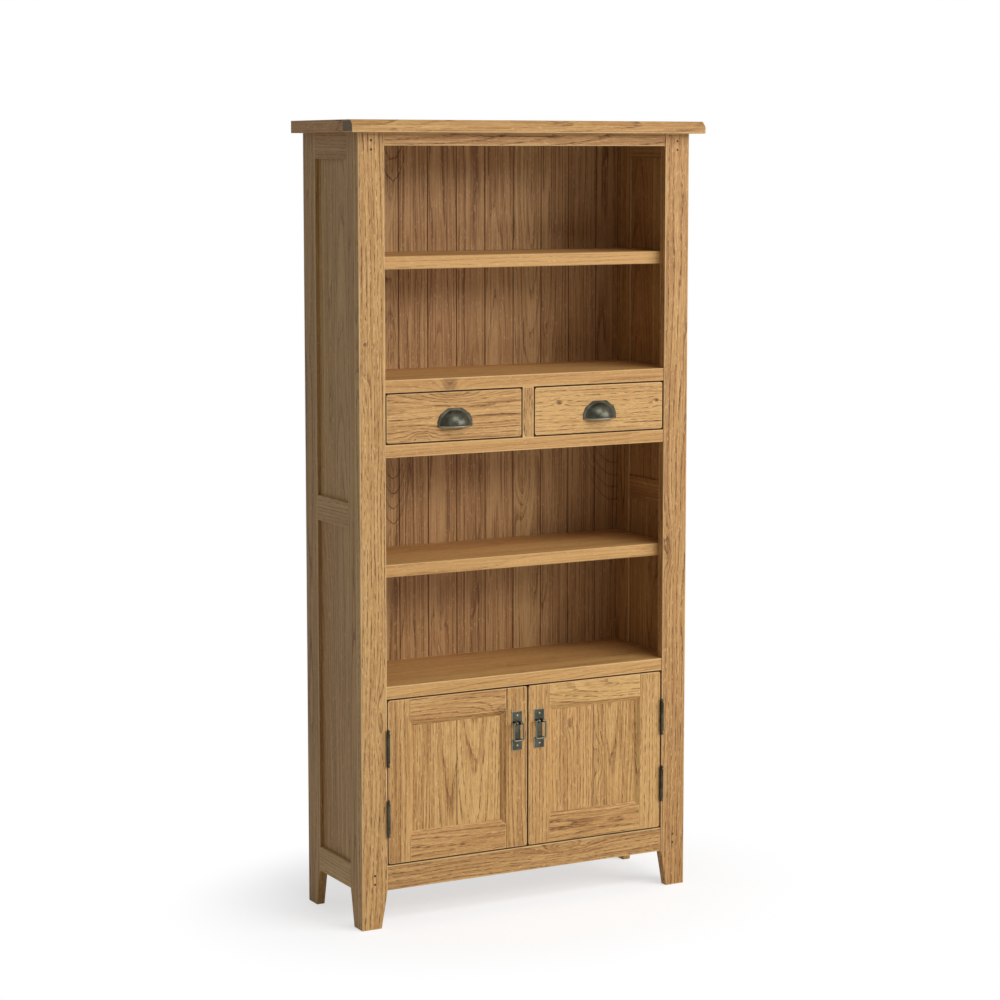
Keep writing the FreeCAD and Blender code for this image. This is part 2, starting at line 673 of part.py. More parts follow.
def shelf_pins():
    places = (f"({STILE_BACK_Y} + side_stile_front / 2)", f"({BACK_Y} - side_stile_back / 2)")
    starts = {RIGHT: f"{INNER_HALF} - pin_reach", LEFT: f"-{INNER_HALF} - pin_depth"}
    pins = [primitive("Cylinder", "shelf_pin", (starts[side], y, level), FACING_RIGHT,
                      Radius="pin_radius", Height="pin_depth + pin_reach")
            for side in (LEFT, RIGHT) for y in places for level in shelf_pin_levels()]
    return group("shelf_pins", pins)


def boards():
    inner_depth = f"({BACK_FACE_Y} - {STILE_BACK_Y})"
    floor = board("cupboard_floor", (f"2 * {INNER_HALF}", inner_depth, "floor_thick"),
                  (f"-{INNER_HALF}", STILE_BACK_Y, f"{FLOOR_LEVEL} - floor_thick"))
    divider = board("drawer_divider", ("divider_width", f"{BACK_FACE_Y} - {FACE_Y}", "drawer_opening"),
                    ("-divider_width / 2", FACE_Y, DRAWER_SPACE_LEVEL))
    guide_width = f"{INNER_HALF} - {OPENING_HALF}"
    starts = {"left": f"-{INNER_HALF}", "right": OPENING_HALF}
    guide_length = f"{DRAWER_LENGTH} + {FACE_Y} - {STILE_BACK_Y} + guide_past"
    guides = [board(f"drawer_{name}_guide", (guide_width, guide_length, "guide_height"),
                    (x, STILE_BACK_Y, DRAWER_SPACE_LEVEL)) for name, x in starts.items()]
    return [fixed_board("cupboard_top_board", CUPBOARD_TOP_LEVEL),
            fixed_board("drawer_bottom_board", DRAWER_BOTTOM_LEVEL),
            fixed_board("drawer_top_board", DRAWER_TOP_LEVEL),
            loose_shelf("lower_shelf", LOWER_SHELF_LEVEL), loose_shelf("upper_shelf", UPPER_SHELF_LEVEL),
            floor, divider, group("drawer_guides", guides), shelf_pins()]


# The drawers: dovetailed boxes that run on the board under them.

DRAWER_WIDTH = f"({OPENING_HALF} - divider_width / 2 - 2 * drawer_gap)"
DRAWER_SIDE_HEIGHT = "(drawer_opening - drawer_run_gap - drawer_head_gap)"
FRONT_TAIL_LEVELS = ("0", DRAWER_SIDE_HEIGHT)
BACK_LOW = "(drawer_bottom_rise + drawer_bottom_thick)"
BACK_TAIL_LEVELS = (BACK_LOW, DRAWER_SIDE_HEIGHT)
BOX_LEVEL = f"({DRAWER_SPACE_LEVEL} + drawer_run_gap)"
BACK_ROOT = f"({DRAWER_LENGTH} - drawer_back_thick)"


def drawer_middle(side):
    return f"{side} * ({OPENING_HALF} + divider_width / 2) / 2"


def tail(number, levels, base_y, tip_y):
    """One dovetail as four corners in y and z, from its lower root to its upper root."""
    low, high = levels
    pitch = f"(({high} - {low}) / {DOVETAILS})"
    middle = f"({low} + {pitch} * (2 * {number} + 1) / 2)"
    base = f"{pitch} * {TAIL_BASE_SHARE} / 2"
    tip = f"{pitch} * {TAIL_TIP_SHARE} / 2"
    return [(base_y, f"{middle} - {base}"), (tip_y, f"{middle} - {tip}"),
            (tip_y, f"{middle} + {tip}"), (base_y, f"{middle} + {base}")]


def front_tails():
    return [tail(number, FRONT_TAIL_LEVELS, "drawer_front_thick", "drawer_lap")
            for number in range(DOVETAILS)]


def back_tails():
    return [tail(number, BACK_TAIL_LEVELS, BACK_ROOT, DRAWER_LENGTH) for number in range(DOVETAILS)]


def drawer_side(label, side, hand):
    """A side with tails at the front and the back, and a groove for the bottom."""
    x = f"{DRAWER_WIDTH} / 2 - drawer_side_thick" if hand == RIGHT else f"-{DRAWER_WIDTH} / 2"
    body = new_body(label, f"{drawer_middle(side)} + {x}", FACE_Y, BOX_LEVEL)
    points = [("drawer_front_thick", "0")]
    for corners in front_tails():
        points += corners
    points += [("drawer_front_thick", DRAWER_SIDE_HEIGHT), (BACK_ROOT, DRAWER_SIDE_HEIGHT)]
    for corners in reversed(back_tails()):
        points += reversed(corners)
    points += [(BACK_ROOT, BACK_LOW), (DRAWER_LENGTH, BACK_LOW), (DRAWER_LENGTH, "0")]
    outline = sketch_on(body, "YZ_Plane")
    draw_outline(outline, points)
    pad(body, outline, "drawer_side_thick")
    groove = sketch_on(body, "YZ_Plane", "0" if hand == RIGHT else "drawer_side_thick - drawer_bottom_groove")
    draw_rectangle(groove, ("drawer_front_thick - drawer_bottom_groove", "drawer_bottom_rise"),
                   (f"{DRAWER_LENGTH} + overrun", BACK_LOW))
    pocket(body, groove, "drawer_bottom_groove", reverse=True)
    return body


def cut_sockets(body, tails, rise):
    """Cut the sockets of the given tails into both ends of a drawer front or back."""
    for start in (f"-{DRAWER_WIDTH} / 2", f"{DRAWER_WIDTH} / 2 - drawer_side_thick"):
        sockets = sketch_on(body, "YZ_Plane", start)
        for corners in tails:
            draw_outline(sockets, [(y, f"{z} + {rise}") for y, z in corners])
        pocket(body, sockets, "drawer_side_thick", reverse=True)


def drawer_front(label, side):
    body = new_body(label, drawer_middle(side), FACE_Y, f"{DRAWER_SPACE_LEVEL} + drawer_reveal")
    face = sketch_on(body, "XZ_Plane")
    draw_rectangle(face, (f"-{DRAWER_WIDTH} / 2", "0"),
                   (f"{DRAWER_WIDTH} / 2", "drawer_opening - 2 * drawer_reveal"))
    pad(body, face, "drawer_front_thick", reverse=True)
    round_corners(body, "front_corner", ("XMin", "XMax", "ZMin", "ZMax"))
    ease_front_edges(body, "front_ease")
    rise = "(drawer_run_gap - drawer_reveal)"
    cut_sockets(body, front_tails(), rise)
    groove = sketch_on(body, "YZ_Plane", f"drawer_side_thick - {DRAWER_WIDTH} / 2")
    draw_rectangle(groove, ("drawer_front_thick - drawer_bottom_groove", f"drawer_bottom_rise + {rise}"),
                   ("drawer_front_thick + overrun", f"{BACK_LOW} + {rise}"))
    pocket(body, groove, f"{DRAWER_WIDTH} - 2 * drawer_side_thick", reverse=True)
    return body


def drawer_back(label, side):
    body = new_body(label, drawer_middle(side), FACE_Y, BOX_LEVEL)
    section = sketch_on(body, "YZ_Plane", f"-{DRAWER_WIDTH} / 2")
    draw_rectangle(section, (BACK_ROOT, BACK_LOW), (DRAWER_LENGTH, DRAWER_SIDE_HEIGHT))
    pad(body, section, DRAWER_WIDTH)
    cut_sockets(body, back_tails(), "0")
    return body


# The cup pulls: a shell turned about a line behind the drawer front, with a flat rim round its arc.

SHELL_HALF = "(pull_half - pull_rim)"
SHELL_HEIGHT = "(pull_height - pull_rim)"
PLAN_RADIUS = f"(({SHELL_HALF} ^ 2 + pull_reach ^ 2) / (2 * pull_reach))"
PLAN_BACK = f"({PLAN_RADIUS} - pull_reach)"
AXIS_BACK = f"(({SHELL_HEIGHT} ^ 2 - pull_reach ^ 2) / (2 * pull_reach))"


def pull_plan(wall):
    """Corners of the shell's plan, as pairs of a place across and a distance from the turning line."""
    radius = f"({PLAN_RADIUS} - {wall})"
    end = f"sqrt({radius} ^ 2 - {PLAN_BACK} ^ 2)"
    return [(f"{share} * {end}",
             f"(sqrt({radius} ^ 2 - ({share} * {end}) ^ 2) - {PLAN_BACK} + {AXIS_BACK})")
            for share in PULL_CORNER_SHARES]


def pull_section(body, wall):
    """The plan closed along the turning line, ready to be turned up from the open underside."""
    corners = pull_plan(wall)
    section = sketch_on(body, "XY_Plane")
    draw_outline(section, [(x, f"-{depth}") for x, depth in corners]
                 + [(corners[-1][0], "0"), (corners[0][0], "0")])
    return section


def cup_pull(label, side):
    middle_level = f"({DRAWER_SPACE_LEVEL} + drawer_opening / 2 - pull_drop)"
    body = new_body(label, drawer_middle(side), f"{FACE_Y} + {AXIS_BACK}",
                    f"{middle_level} - pull_height / 2")
    rim = sketch_on(body, "XZ_Plane", AXIS_BACK)
    draw_outline(rim, [(f"{x} * pull_half / {SHELL_HALF}",
                        f"sqrt(max({depth} ^ 2 - {AXIS_BACK} ^ 2; 0)) * pull_height / {SHELL_HEIGHT}")
                       for x, depth in pull_plan("0")])
    pad(body, rim, "pull_rim_thick")
    turned(body, "Revolution", pull_section(body, "0"), "H_Axis", QUARTER_TURN)
    turned(body, "Groove", pull_section(body, "pull_wall"), "H_Axis", QUARTER_TURN)
    behind = sketch_on(body, "XZ_Plane", AXIS_BACK)
    draw_rectangle(behind, ("-pull_half - overrun", "-overrun"),
                   ("pull_half + overrun", "pull_height + overrun"))
    pocket(body, behind, f"{AXIS_BACK} + overrun")
    return body


def drawer(side):
    name = side_name(side) + "_drawer"
    bottom_width = f"({DRAWER_WIDTH} - 2 * drawer_side_thick + 2 * drawer_bottom_groove)"
    bottom_start = "(drawer_front_thick - drawer_bottom_groove)"
    bottom = board(name + "_bottom",
                   (bottom_width, f"{DRAWER_LENGTH} - {bottom_start}", "drawer_bottom_thick"),
                   (f"{drawer_middle(side)} - {bottom_width} / 2", f"{FACE_Y} + {bottom_start}",
                    f"{BOX_LEVEL} + drawer_bottom_rise"), ease=None)
    sides = group(name + "_sides", [drawer_side(name + "_left_side", side, LEFT),
                                    drawer_side(name + "_right_side", side, RIGHT)])
    return [drawer_front(name + "_front", side), sides, drawer_back(name + "_back", side), bottom,
            cup_pull(side_name(side) + "_cup_pull", side)]


# The doors: mitred bevels round a panel, hung on butt hinges, with a bail handle each.

DOOR_WIDTH = f"({OPENING_HALF} - door_gap - door_meeting_gap / 2)"
DOOR_HEIGHT = "(door_opening - 2 * door_reveal)"
DOOR_LEVEL = f"({FLOOR_LEVEL} + door_reveal)"
BEVELLED_STILE = "(door_stile + door_bevel)"
DOOR_GRIP = "(door_groove - panel_clearance)"


def door_x(side, across):
    """The place of a point that lies some distance from the door's hinged edge."""
    return f"{side} * ({OPENING_HALF} - door_gap - ({across}))"


def door_member(label, side, outline, outer_faces):
    """One member of a door's frame as a flat board, eased along the door's outer edges."""
    body = new_body(label, y=FACE_Y, z=DOOR_LEVEL)
    face = sketch_on(body, "XZ_Plane")
    draw_outline(face, [(door_x(side, across), up) for across, up in outline])
    pad(body, face, "door_thick", reverse=True)
    if len(outer_faces) > 1:
        round_corners(body, "front_corner", outer_faces)
    ease_outer_edges(body, "front_ease", outer_faces)
    return body


def door_stile(label, side, edge):
    """A stile: edge gives how far from the hinged edge a distance from its own outer edge lies."""
    outer_side = "XMin" if (edge("0") == "0") == (side == LEFT) else "XMax"
    mitre_low = "(door_bottom_rail + door_bevel)"
    mitre_high = f"({DOOR_HEIGHT} - door_top_rail - door_bevel)"
    near, joint, inner = edge("0"), edge("door_stile"), edge(BEVELLED_STILE)
    body = door_member(label, side, ((near, "0"), (joint, "0"), (joint, "door_bottom_rail"),
                                     (inner, mitre_low), (inner, mitre_high),
                                     (joint, f"{DOOR_HEIGHT} - door_top_rail"),
                                     (joint, DOOR_HEIGHT), (near, DOOR_HEIGHT)),
                       (outer_side, "ZMin", "ZMax"))
    past = edge(f"{BEVELLED_STILE} + overrun")
    bevel = sketch_on(body, "XY_Plane")
    draw_outline(bevel, [(door_x(side, across), depth) for across, depth in (
        (joint, "0"), (inner, "door_bevel_depth"), (past, "door_bevel_depth"), (past, "-overrun"),
        (joint, "-overrun"))])
    pocket(body, bevel, DOOR_HEIGHT, reverse=True)
    groove = sketch_on(body, "XY_Plane")
    draw_rectangle(groove, (door_x(side, edge(f"{BEVELLED_STILE} - door_groove")), "door_bevel_depth"),
                   (door_x(side, past), "door_bevel_depth + door_panel_thick"))
    pocket(body, groove, DOOR_HEIGHT, reverse=True)
    return body


def door_rail(label, side, level):
    """A rail: level gives the height above the door's lower edge of a distance from its own outer edge."""
    is_top = level("0") != "0"
    height = "door_top_rail" if is_top else "door_bottom_rail"
    near = "door_stile"
    far = f"({DOOR_WIDTH} - door_stile)"
    inner = level(f"{height} + door_bevel")
    body = door_member(label, side, ((near, level("0")), (far, level("0")), (far, level(height)),
                                     (f"{far} - door_bevel", inner), (f"{near} + door_bevel", inner),
                                     (near, level(height))), ("ZMax" if is_top else "ZMin",))
    left = f"-{OPENING_HALF}"
    past = level(f"{height} + door_bevel + overrun")
    bevel = sketch_on(body, "YZ_Plane", left)
    draw_outline(bevel, (("0", level(height)), ("door_bevel_depth", inner), ("door_bevel_depth", past),
                         ("-overrun", past), ("-overrun", level(height))))
    pocket(body, bevel, f"2 * {OPENING_HALF}", reverse=True)
    groove = sketch_on(body, "YZ_Plane", left)
    draw_rectangle(groove, ("door_bevel_depth", level(f"{height} + door_bevel - door_groove")),
                   ("door_bevel_depth + door_panel_thick", past))
    pocket(body, groove, f"2 * {OPENING_HALF}", reverse=True)
    return body


def door_panel(label, side):
    width = f"({DOOR_WIDTH} - 2 * {BEVELLED_STILE} + 2 * {DOOR_GRIP})"
    height = f"({DOOR_HEIGHT} - door_top_rail - door_bottom_rail - 2 * door_bevel + 2 * {DOOR_GRIP})"
    middle = door_x(side, f"{DOOR_WIDTH} / 2")
    return board(label, (width, "door_panel_thick", height),
                 (f"{middle} - {width} / 2", f"{FACE_Y} + door_bevel_depth",
                  f"{DOOR_LEVEL} + door_bottom_rail + door_bevel - {DOOR_GRIP}"), ease=None)


# The hinges: a leaf on the stile and one on the door, in the gap, with knuckles round a pin.

HINGE_Y = f"({FRONT_Y} - barrel_radius - barrel_clearance)"
LEAF_Y = f"({FRONT_Y} + leaf_setback)"
HINGE_LEVELS = (f"({DOOR_LEVEL} + hinge_bottom_margin)",
                f"({DOOR_LEVEL} + {DOOR_HEIGHT} - hinge_top_margin - barrel_length)")


def hinge_x(side):
    return f"{side} * ({OPENING_HALF} - door_gap / 2)"


def hinge_leaf(label, side, level, on_door):
    """A leaf with every other knuckle: the odd ones on the stile, the even ones on the door."""
    distance = "door_gap" if on_door else "leaf_thick"
    leaf_x = f"{OPENING_HALF} - {distance}" if side == RIGHT else f"-{OPENING_HALF} + {distance} - leaf_thick"
    pieces = [primitive("Box", label + "_plate", (leaf_x, LEAF_Y, level), Length="leaf_thick",
                        Width="leaf_width", Height="barrel_length")]
    knuckles = list(zip(KNUCKLE_END_SHARES, KNUCKLE_END_SHARES[1:]))
    for start, end in knuckles[1 if on_door else 0::2]:
        low = f"{level} + barrel_length * {start} + knuckle_gap / 2"
        tall = f"barrel_length * {end - start} - knuckle_gap"
        pieces.append(primitive("Cylinder", label + "_knuckle", (hinge_x(side), HINGE_Y, low),
                                Radius="barrel_radius", Height=tall))
        pieces.append(primitive("Box", label + "_web", (leaf_x, HINGE_Y, low), Length="leaf_thick",
                                Width=f"{LEAF_Y} - {HINGE_Y}", Height=tall))
    bore = primitive("Cylinder", label + "_bore", (hinge_x(side), HINGE_Y, f"{level} - overrun"),
                     Radius="hinge_pin_radius + hinge_bore_clearance", Height="barrel_length + 2 * overrun")
    return cut(label, fused(label + "_solid", pieces), bore)


def hinge_pin(label, side, level):
    """A turned pin with a small ball-like end beyond each end of the barrel."""
    body = new_body(label, hinge_x(side), HINGE_Y, level)
    tip = f"(finial_radius * {FINIAL_TIP_SHARE})"
    rise = f"(finial_radius * {FINIAL_RISE_SHARE})"
    ball = "(2 * finial_radius)"
    lower = [("0", f"-finial_neck - {ball}"), (tip, f"-finial_neck - {ball}"),
             ("finial_radius", f"-finial_neck - {ball} + {rise}"),
             ("finial_radius", f"-finial_neck - {rise}"), ("hinge_pin_radius", "-finial_neck")]
    upper = [(radius, f"barrel_length - ({height})") for radius, height in reversed(lower)]
    section = sketch_on(body, "XZ_Plane")
    draw_outline(section, lower + upper)
    turned(body, "Revolution", section, "V_Axis", FULL_TURN)
    return body


def frame_hinges():
    leaves = [hinge_leaf(f"frame_leaf_{side_name(side)}_{number}", side, level, False)
              for side in (LEFT, RIGHT) for number, level in enumerate(HINGE_LEVELS, start=1)]
    pins = [hinge_pin(f"pin_{side_name(side)}_{number}", side, level)
            for side in (LEFT, RIGHT) for number, level in enumerate(HINGE_LEVELS, start=1)]
    return [group("hinge_frame_leaves", leaves), group("hinge_pins", pins)]


def door_hinges(side):
    name = side_name(side)
    return group(name + "_door_hinge_leaves",
                 [hinge_leaf(f"door_leaf_{name}_{number}", side, level, True)
                  for number, level in enumerate(HINGE_LEVELS, start=1)])


# The handles: a plate with a narrow waist, two ears, and a bail that hangs in them.

PLATE_TOP = f"({DOOR_LEVEL} + {DOOR_HEIGHT} - plate_drop)"
PIVOT_LEVEL = f"({PLATE_TOP} - pivot_drop)"
PIVOT_Y = f"({FACE_Y} - plate_thick - pivot_reach)"


def handle_x(side):
    return f"({door_x(side, f'{DOOR_WIDTH} - door_stile / 2')})"


def handle_plate(side):
    label = side_name(side) + "_handle_plate"
    body = new_body(label + "_sheet", handle_x(side), f"{FACE_Y} - plate_thick",
                    f"{PLATE_TOP} - plate_height")
    wide, waist = "plate_width / 2", "plate_waist / 2"
    upper = "plate_height - plate_tab"
    right_half = [(wide, "0"), (wide, "plate_tab"), (waist, "plate_tab"), (waist, upper), (wide, upper),
                  (wide, "plate_height")]
    outline = sketch_on(body, "XZ_Plane")
    draw_outline(outline, right_half + [(f"-{x}", z) for x, z in reversed(right_half)])
    pad(body, outline, "plate_thick", reverse=True)
    ease_front_edges(body, "plate_ease")
    pieces = [body]
    for start in (f"-ear_inner - ear_width", "ear_inner"):
        x = f"{handle_x(side)} + {start}"
        pieces.append(primitive("Cylinder", label + "_ear_end", (x, PIVOT_Y, PIVOT_LEVEL), FACING_RIGHT,
                                Radius="ear_radius", Height="ear_width"))
        pieces.append(primitive("Box", label + "_ear_arm", (x, PIVOT_Y, f"{PIVOT_LEVEL} - ear_radius"),
                                Length="ear_width", Width="pivot_reach + plate_thick / 2",
                                Height="2 * ear_radius"))
    bore = primitive("Cylinder", label + "_bore", (f"{handle_x(side)} - plate_width", PIVOT_Y, PIVOT_LEVEL),
                     FACING_RIGHT, Radius="bail_radius + bail_clearance", Height="2 * plate_width")
    plate = cut(label, fused(label + "_solid", pieces), bore)
    plate.Label = label
    return plate


def bail(side):
    """A bar bent to a rectangle that is open at the top, where its two ends turn in to the ears."""
    body = new_body(side_name(side) + "_bail", handle_x(side), PIVOT_Y, PIVOT_LEVEL)
    reach = "(bail_half - bail_corner)"
    low = "(bail_drop - bail_corner)"

    def bend(across, down, quarter):
        """Points along a bend, clockwise from the given quarter of a turn."""
        angles = [math.pi / 2 * (quarter - step / BEND_STEPS) for step in range(BEND_STEPS + 1)]
        return [(f"{across} + bail_corner * {math.cos(angle)}", f"bail_corner * {math.sin(angle)} - {down}")
                for angle in angles]

    path = sketch_on(body, "XZ_Plane")
    draw_lines(path, [("ear_inner", "0")] + bend(reach, "bail_corner", 1) + bend(reach, low, 0)
               + bend(f"-{reach}", low, -1) + bend(f"-{reach}", "bail_corner", -2) + [("-ear_inner", "0")],
               closed=False)
    section = sketch_on(body, "YZ_Plane", "ear_inner")
    draw_circle(section, "0", "0", "bail_radius")
    bar = body.newObject("PartDesign::AdditivePipe", body.Label + "_bar")
    bar.Profile = section
    bar.Spine = path
    bar.Transition = "Right corner"
    doc.recompute()
    return body


# The catches: a magnet under the board above the doors holds a steel plate on each lock stile.

def catch(label, side):
    """A block between two thin flanges, under the cupboard's top board."""
    front = f"{FACE_Y} + door_thick + strike_thick + catch_gap"
    body = new_body(label, handle_x(side), front, CUPBOARD_TOP_LEVEL)
    wide, block = "catch_length / 2", "catch_block / 2"
    face = sketch_on(body, "XZ_Plane")
    right_half = [(wide, "0"), (wide, "-catch_flange"), (block, "-catch_flange"), (block, "-catch_height")]
    draw_outline(face, right_half + [(f"-{x}", z) for x, z in reversed(right_half)])
    pad(body, face, "catch_depth", reverse=True)
    return body


def strike(side):
    return board(side_name(side) + "_door_strike", ("strike_length", "strike_thick", "strike_height"),
                 (f"{handle_x(side)} - strike_length / 2", f"{FACE_Y} + door_thick",
                  f"{DOOR_LEVEL} + {DOOR_HEIGHT} - strike_drop - strike_height"), ease=None)


def door_catches():
    return group("door_catches", [catch("catch_" + side_name(side), side) for side in (LEFT, RIGHT)])


def door(side):
    name = side_name(side) + "_door"
    return [door_stile(name + "_hinge_stile", side, lambda distance: distance),
            door_stile(name + "_lock_stile", side, lambda distance: f"({DOOR_WIDTH} - ({distance}))"),
            door_rail(name + "_bottom_rail", side, lambda distance: distance),
            door_rail(name + "_top_rail", side, lambda distance: f"({DOOR_HEIGHT} - ({distance}))"),
            door_panel(name + "_panel", side), door_hinges(side), handle_plate(side), strike(side),
            bail(side)]


def check(pieces):
    """Stop before anything is written if an object failed or a piece isn't a sound solid."""
    for item in doc.Objects:
        if "Invalid" in item.State or "Error" in item.State:
            raise ValueError(f"{item.Label} is {item.State}")
    for piece in pieces:
        if piece.Shape.isNull() or not piece.Shape.isValid() or not piece.Shape.Solids:
            raise ValueError(f"{piece.Label} has no sound shape")


def main():
    pieces = top_boards() + face_frame() + side_frame(LEFT) + side_frame(RIGHT) + back() + boards()
    pieces += drawer(LEFT) + drawer(RIGHT) + frame_hinges() + [door_catches()] + door(LEFT) + door(RIGHT)
    doc.recompute()
    check(pieces)
    os.makedirs("parts", exist_ok=True)
    for piece in pieces:
        piece.Shape.exportStep(f"parts/{piece.Label}.step")
    print(len(pieces), "pieces,", sum(len(piece.Shape.Solids) for piece in pieces), "solids")


main()
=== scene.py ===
import math
import random
from typing import NamedTuple

import bmesh
import bpy
import numpy as np
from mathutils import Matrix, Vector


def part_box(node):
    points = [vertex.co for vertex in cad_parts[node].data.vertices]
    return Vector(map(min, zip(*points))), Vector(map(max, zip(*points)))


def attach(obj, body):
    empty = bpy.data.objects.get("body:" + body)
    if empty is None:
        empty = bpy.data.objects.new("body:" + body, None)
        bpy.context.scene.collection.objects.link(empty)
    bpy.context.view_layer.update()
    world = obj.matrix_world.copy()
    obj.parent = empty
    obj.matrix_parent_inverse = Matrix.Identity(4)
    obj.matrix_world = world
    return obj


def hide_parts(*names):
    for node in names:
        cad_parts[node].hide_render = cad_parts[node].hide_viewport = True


bl_info = {
    "name": "Oak bookcase",
    "version": (1, 2, 0),
    "blender": (4, 5, 0),
    "location": "View3D > Sidebar > Bookcase",
    "description": "Dresses the packed bookcase: waxed oak, aged pewter fittings and a plain studio",
    "category": "Object",
}

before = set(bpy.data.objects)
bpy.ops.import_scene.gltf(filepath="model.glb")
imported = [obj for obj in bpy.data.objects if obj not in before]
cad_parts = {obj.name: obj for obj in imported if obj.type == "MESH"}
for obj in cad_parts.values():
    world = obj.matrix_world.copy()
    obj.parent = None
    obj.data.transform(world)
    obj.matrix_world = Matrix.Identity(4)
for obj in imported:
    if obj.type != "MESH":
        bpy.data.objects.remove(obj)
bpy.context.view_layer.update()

SIDES = {"left": -1, "right": 1}
MILLIMETRE = 0.001
WHITE = (1.0, 1.0, 1.0, 1.0)


def srgb(red, green, blue):
    """A colour as a screen shows it, from 0 to 255, as the linear colour that materials use."""
    def linear(value):
        share = value / 255
        return share / 12.92 if share <= 0.04045 else ((share + 0.055) / 1.055) ** 2.4
    return (linear(red), linear(green), linear(blue))


def opaque(colour):
    return (*colour, 1.0)


# Shader trees

class Noise(NamedTuple):
    """A layer of smooth noise: its cells per unit along three places, its detail, roughness and shift."""
    cells: tuple
    detail: float
    roughness: float = 0.5
    shift: float = 0.0


class Relief(NamedTuple):
    """A bump: how strongly it tilts the light, and its depth in metres."""
    strength: float
    depth: float


def both_ways(operation):
    """An operator of Socket and its reflected form, which add a Math node of this operation."""
    def forward(self, other):
        return self.math(operation, self, other)

    def reflected(self, other):
        return self.math(operation, other, self)
    return forward, reflected


class Socket:
    """A shader value in a sum: each operator adds the Math node that works it out."""

    def __init__(self, tree, socket):
        self.tree = tree
        self.socket = socket

    def math(self, operation, *values):
        return self.tree.node("ShaderNodeMath", {"operation": operation}, dict(enumerate(values)))

    __add__, __radd__ = both_ways("ADD")
    __sub__, __rsub__ = both_ways("SUBTRACT")
    __mul__, __rmul__ = both_ways("MULTIPLY")
    __truediv__, __rtruediv__ = both_ways("DIVIDE")

    def __pow__(self, other):
        return self.math("POWER", self, other)

    def __abs__(self):
        return self.math("ABSOLUTE", self)

    def floor(self):
        return self.math("FLOOR", self)

    def fraction(self):
        return self.math("FRACT", self)

    def least(self, other):
        return self.math("MINIMUM", self, other)

    def most(self, other):
        return self.math("MAXIMUM", self, other)

    def between(self, low, high):
        """0 at low, 1 at high and a smooth step from one to the other."""
        return self.tree.node("ShaderNodeMapRange", {"interpolation_type": "SMOOTHSTEP"},
                              {"Value": self, "From Min": low, "From Max": high})


class Tree:
    """The node tree of a material or of the world."""

    def __init__(self, owner):
        owner.use_nodes = True
        self.nodes = owner.node_tree.nodes
        self.links = owner.node_tree.links
        self.nodes.clear()

    def node(self, kind, settings=None, inputs=None, output=0):
        """Add a node: its settings first, then the values or links of its sockets."""
        node = self.nodes.new(kind)
        for name, value in (settings or {}).items():
            setattr(node, name, value)
        for key, value in (inputs or {}).items():
            if isinstance(value, Socket):
                self.links.new(value.socket, node.inputs[key])
            else:
                node.inputs[key].default_value = value
        if output is None:
            return [Socket(self, socket) for socket in node.outputs]
        return Socket(self, node.outputs[output])

    def object_place(self):
        place = self.node("ShaderNodeTexCoord", output="Object")
        return self.node("ShaderNodeSeparateXYZ", {}, {"Vector": place}, None)

    def seen_by(self, *rays):
        """1 for a ray of one of the kinds named."""
        seen = 0.0
        for ray in rays:
            seen = self.node("ShaderNodeLightPath", output=f"Is {ray} Ray").most(seen)
        return seen

    def noise(self, place, layer, seed=0, length=1.0):
        """Smooth noise from 0 to 1: a layer moved by the seed, and drawn out along the third place."""
        cells = (*layer.cells[:2], layer.cells[2] / length)
        x, y, z = (value * scale for value, scale in zip(place, cells))
        vector = self.node("ShaderNodeCombineXYZ", {}, {"X": x + (layer.shift + seed), "Y": y, "Z": z})
        return self.node("ShaderNodeTexNoise", {"noise_dimensions": "3D"}, {
            "Vector": vector, "Scale": 1.0, "Detail": layer.detail, "Roughness": layer.roughness})

    def random_parts(self, value):
        """Three steady random numbers from 0 to 1 for each whole value."""
        colour = self.node("ShaderNodeTexWhiteNoise", {"noise_dimensions": "1D"}, {"W": value}, "Color")
        return self.node("ShaderNodeSeparateColor", {}, {"Color": colour}, None)

    def mix(self, share, first, second, blend="MIX"):
        """A colour between two others."""
        first, second = (value if isinstance(value, Socket) else opaque(value) for value in (first, second))
        return self.node("ShaderNodeMix", {"data_type": "RGBA", "blend_type": blend},
                         {0: share, 6: first, 7: second}, 2)

    def surface(self, shader, output="ShaderNodeOutputMaterial"):
        self.node(output, {}, {"Surface": shader}, output=None)

    def finish(self, colour, roughness, height, relief, **constants):
        """End a material: colour, roughness and bump that vary, and the shader's own constants."""
        inputs = {name.replace("_", " "): value for name, value in constants.items()}
        inputs["Base Color"] = colour
        inputs["Roughness"] = roughness
        inputs["Normal"] = self.node("ShaderNodeBump", {}, {"Strength": relief.strength,
                                                            "Distance": relief.depth, "Height": height})
        self.surface(self.node("ShaderNodeBsdfPrincipled", {}, inputs))


# Oak: which boards there are and how they differ

OAK_NODES = {
    "oak_top": ("top_front_board", "top_panel", "top_end_strips"),
    "oak_frame": ("front_stile_left", "front_stile_right", "front_top_rail", "plinth_rail", "drawer_divider",
                  "frame_pegs"),
    "oak_side": tuple(f"side_{part}_{side}" for side in SIDES for part in (
        "stile_front", "stile_back", "rails", "panel_upper", "panel_lower")),
    "oak_shelf": ("cupboard_top_board", "drawer_bottom_board", "drawer_top_board", "lower_shelf",
                  "upper_shelf", "cupboard_floor"),
    "oak_back": ("back_boards",),
    "oak_inner": ("drawer_guides", *(f"{side}_drawer_{part}" for side in SIDES for part in (
        "sides", "back", "bottom"))),
    "oak_front": tuple(f"{side}_{part}" for side in SIDES for part in (
        "drawer_front", "door_hinge_stile", "door_lock_stile", "door_top_rail", "door_bottom_rail",
        "door_panel")),
}

# Each board's own number, from which its place in the log and in the noise is drawn.
BOARDS = [node for nodes in OAK_NODES.values() for node in nodes]
SEEDS = {node: number for number, node in enumerate(BOARDS, 1)}

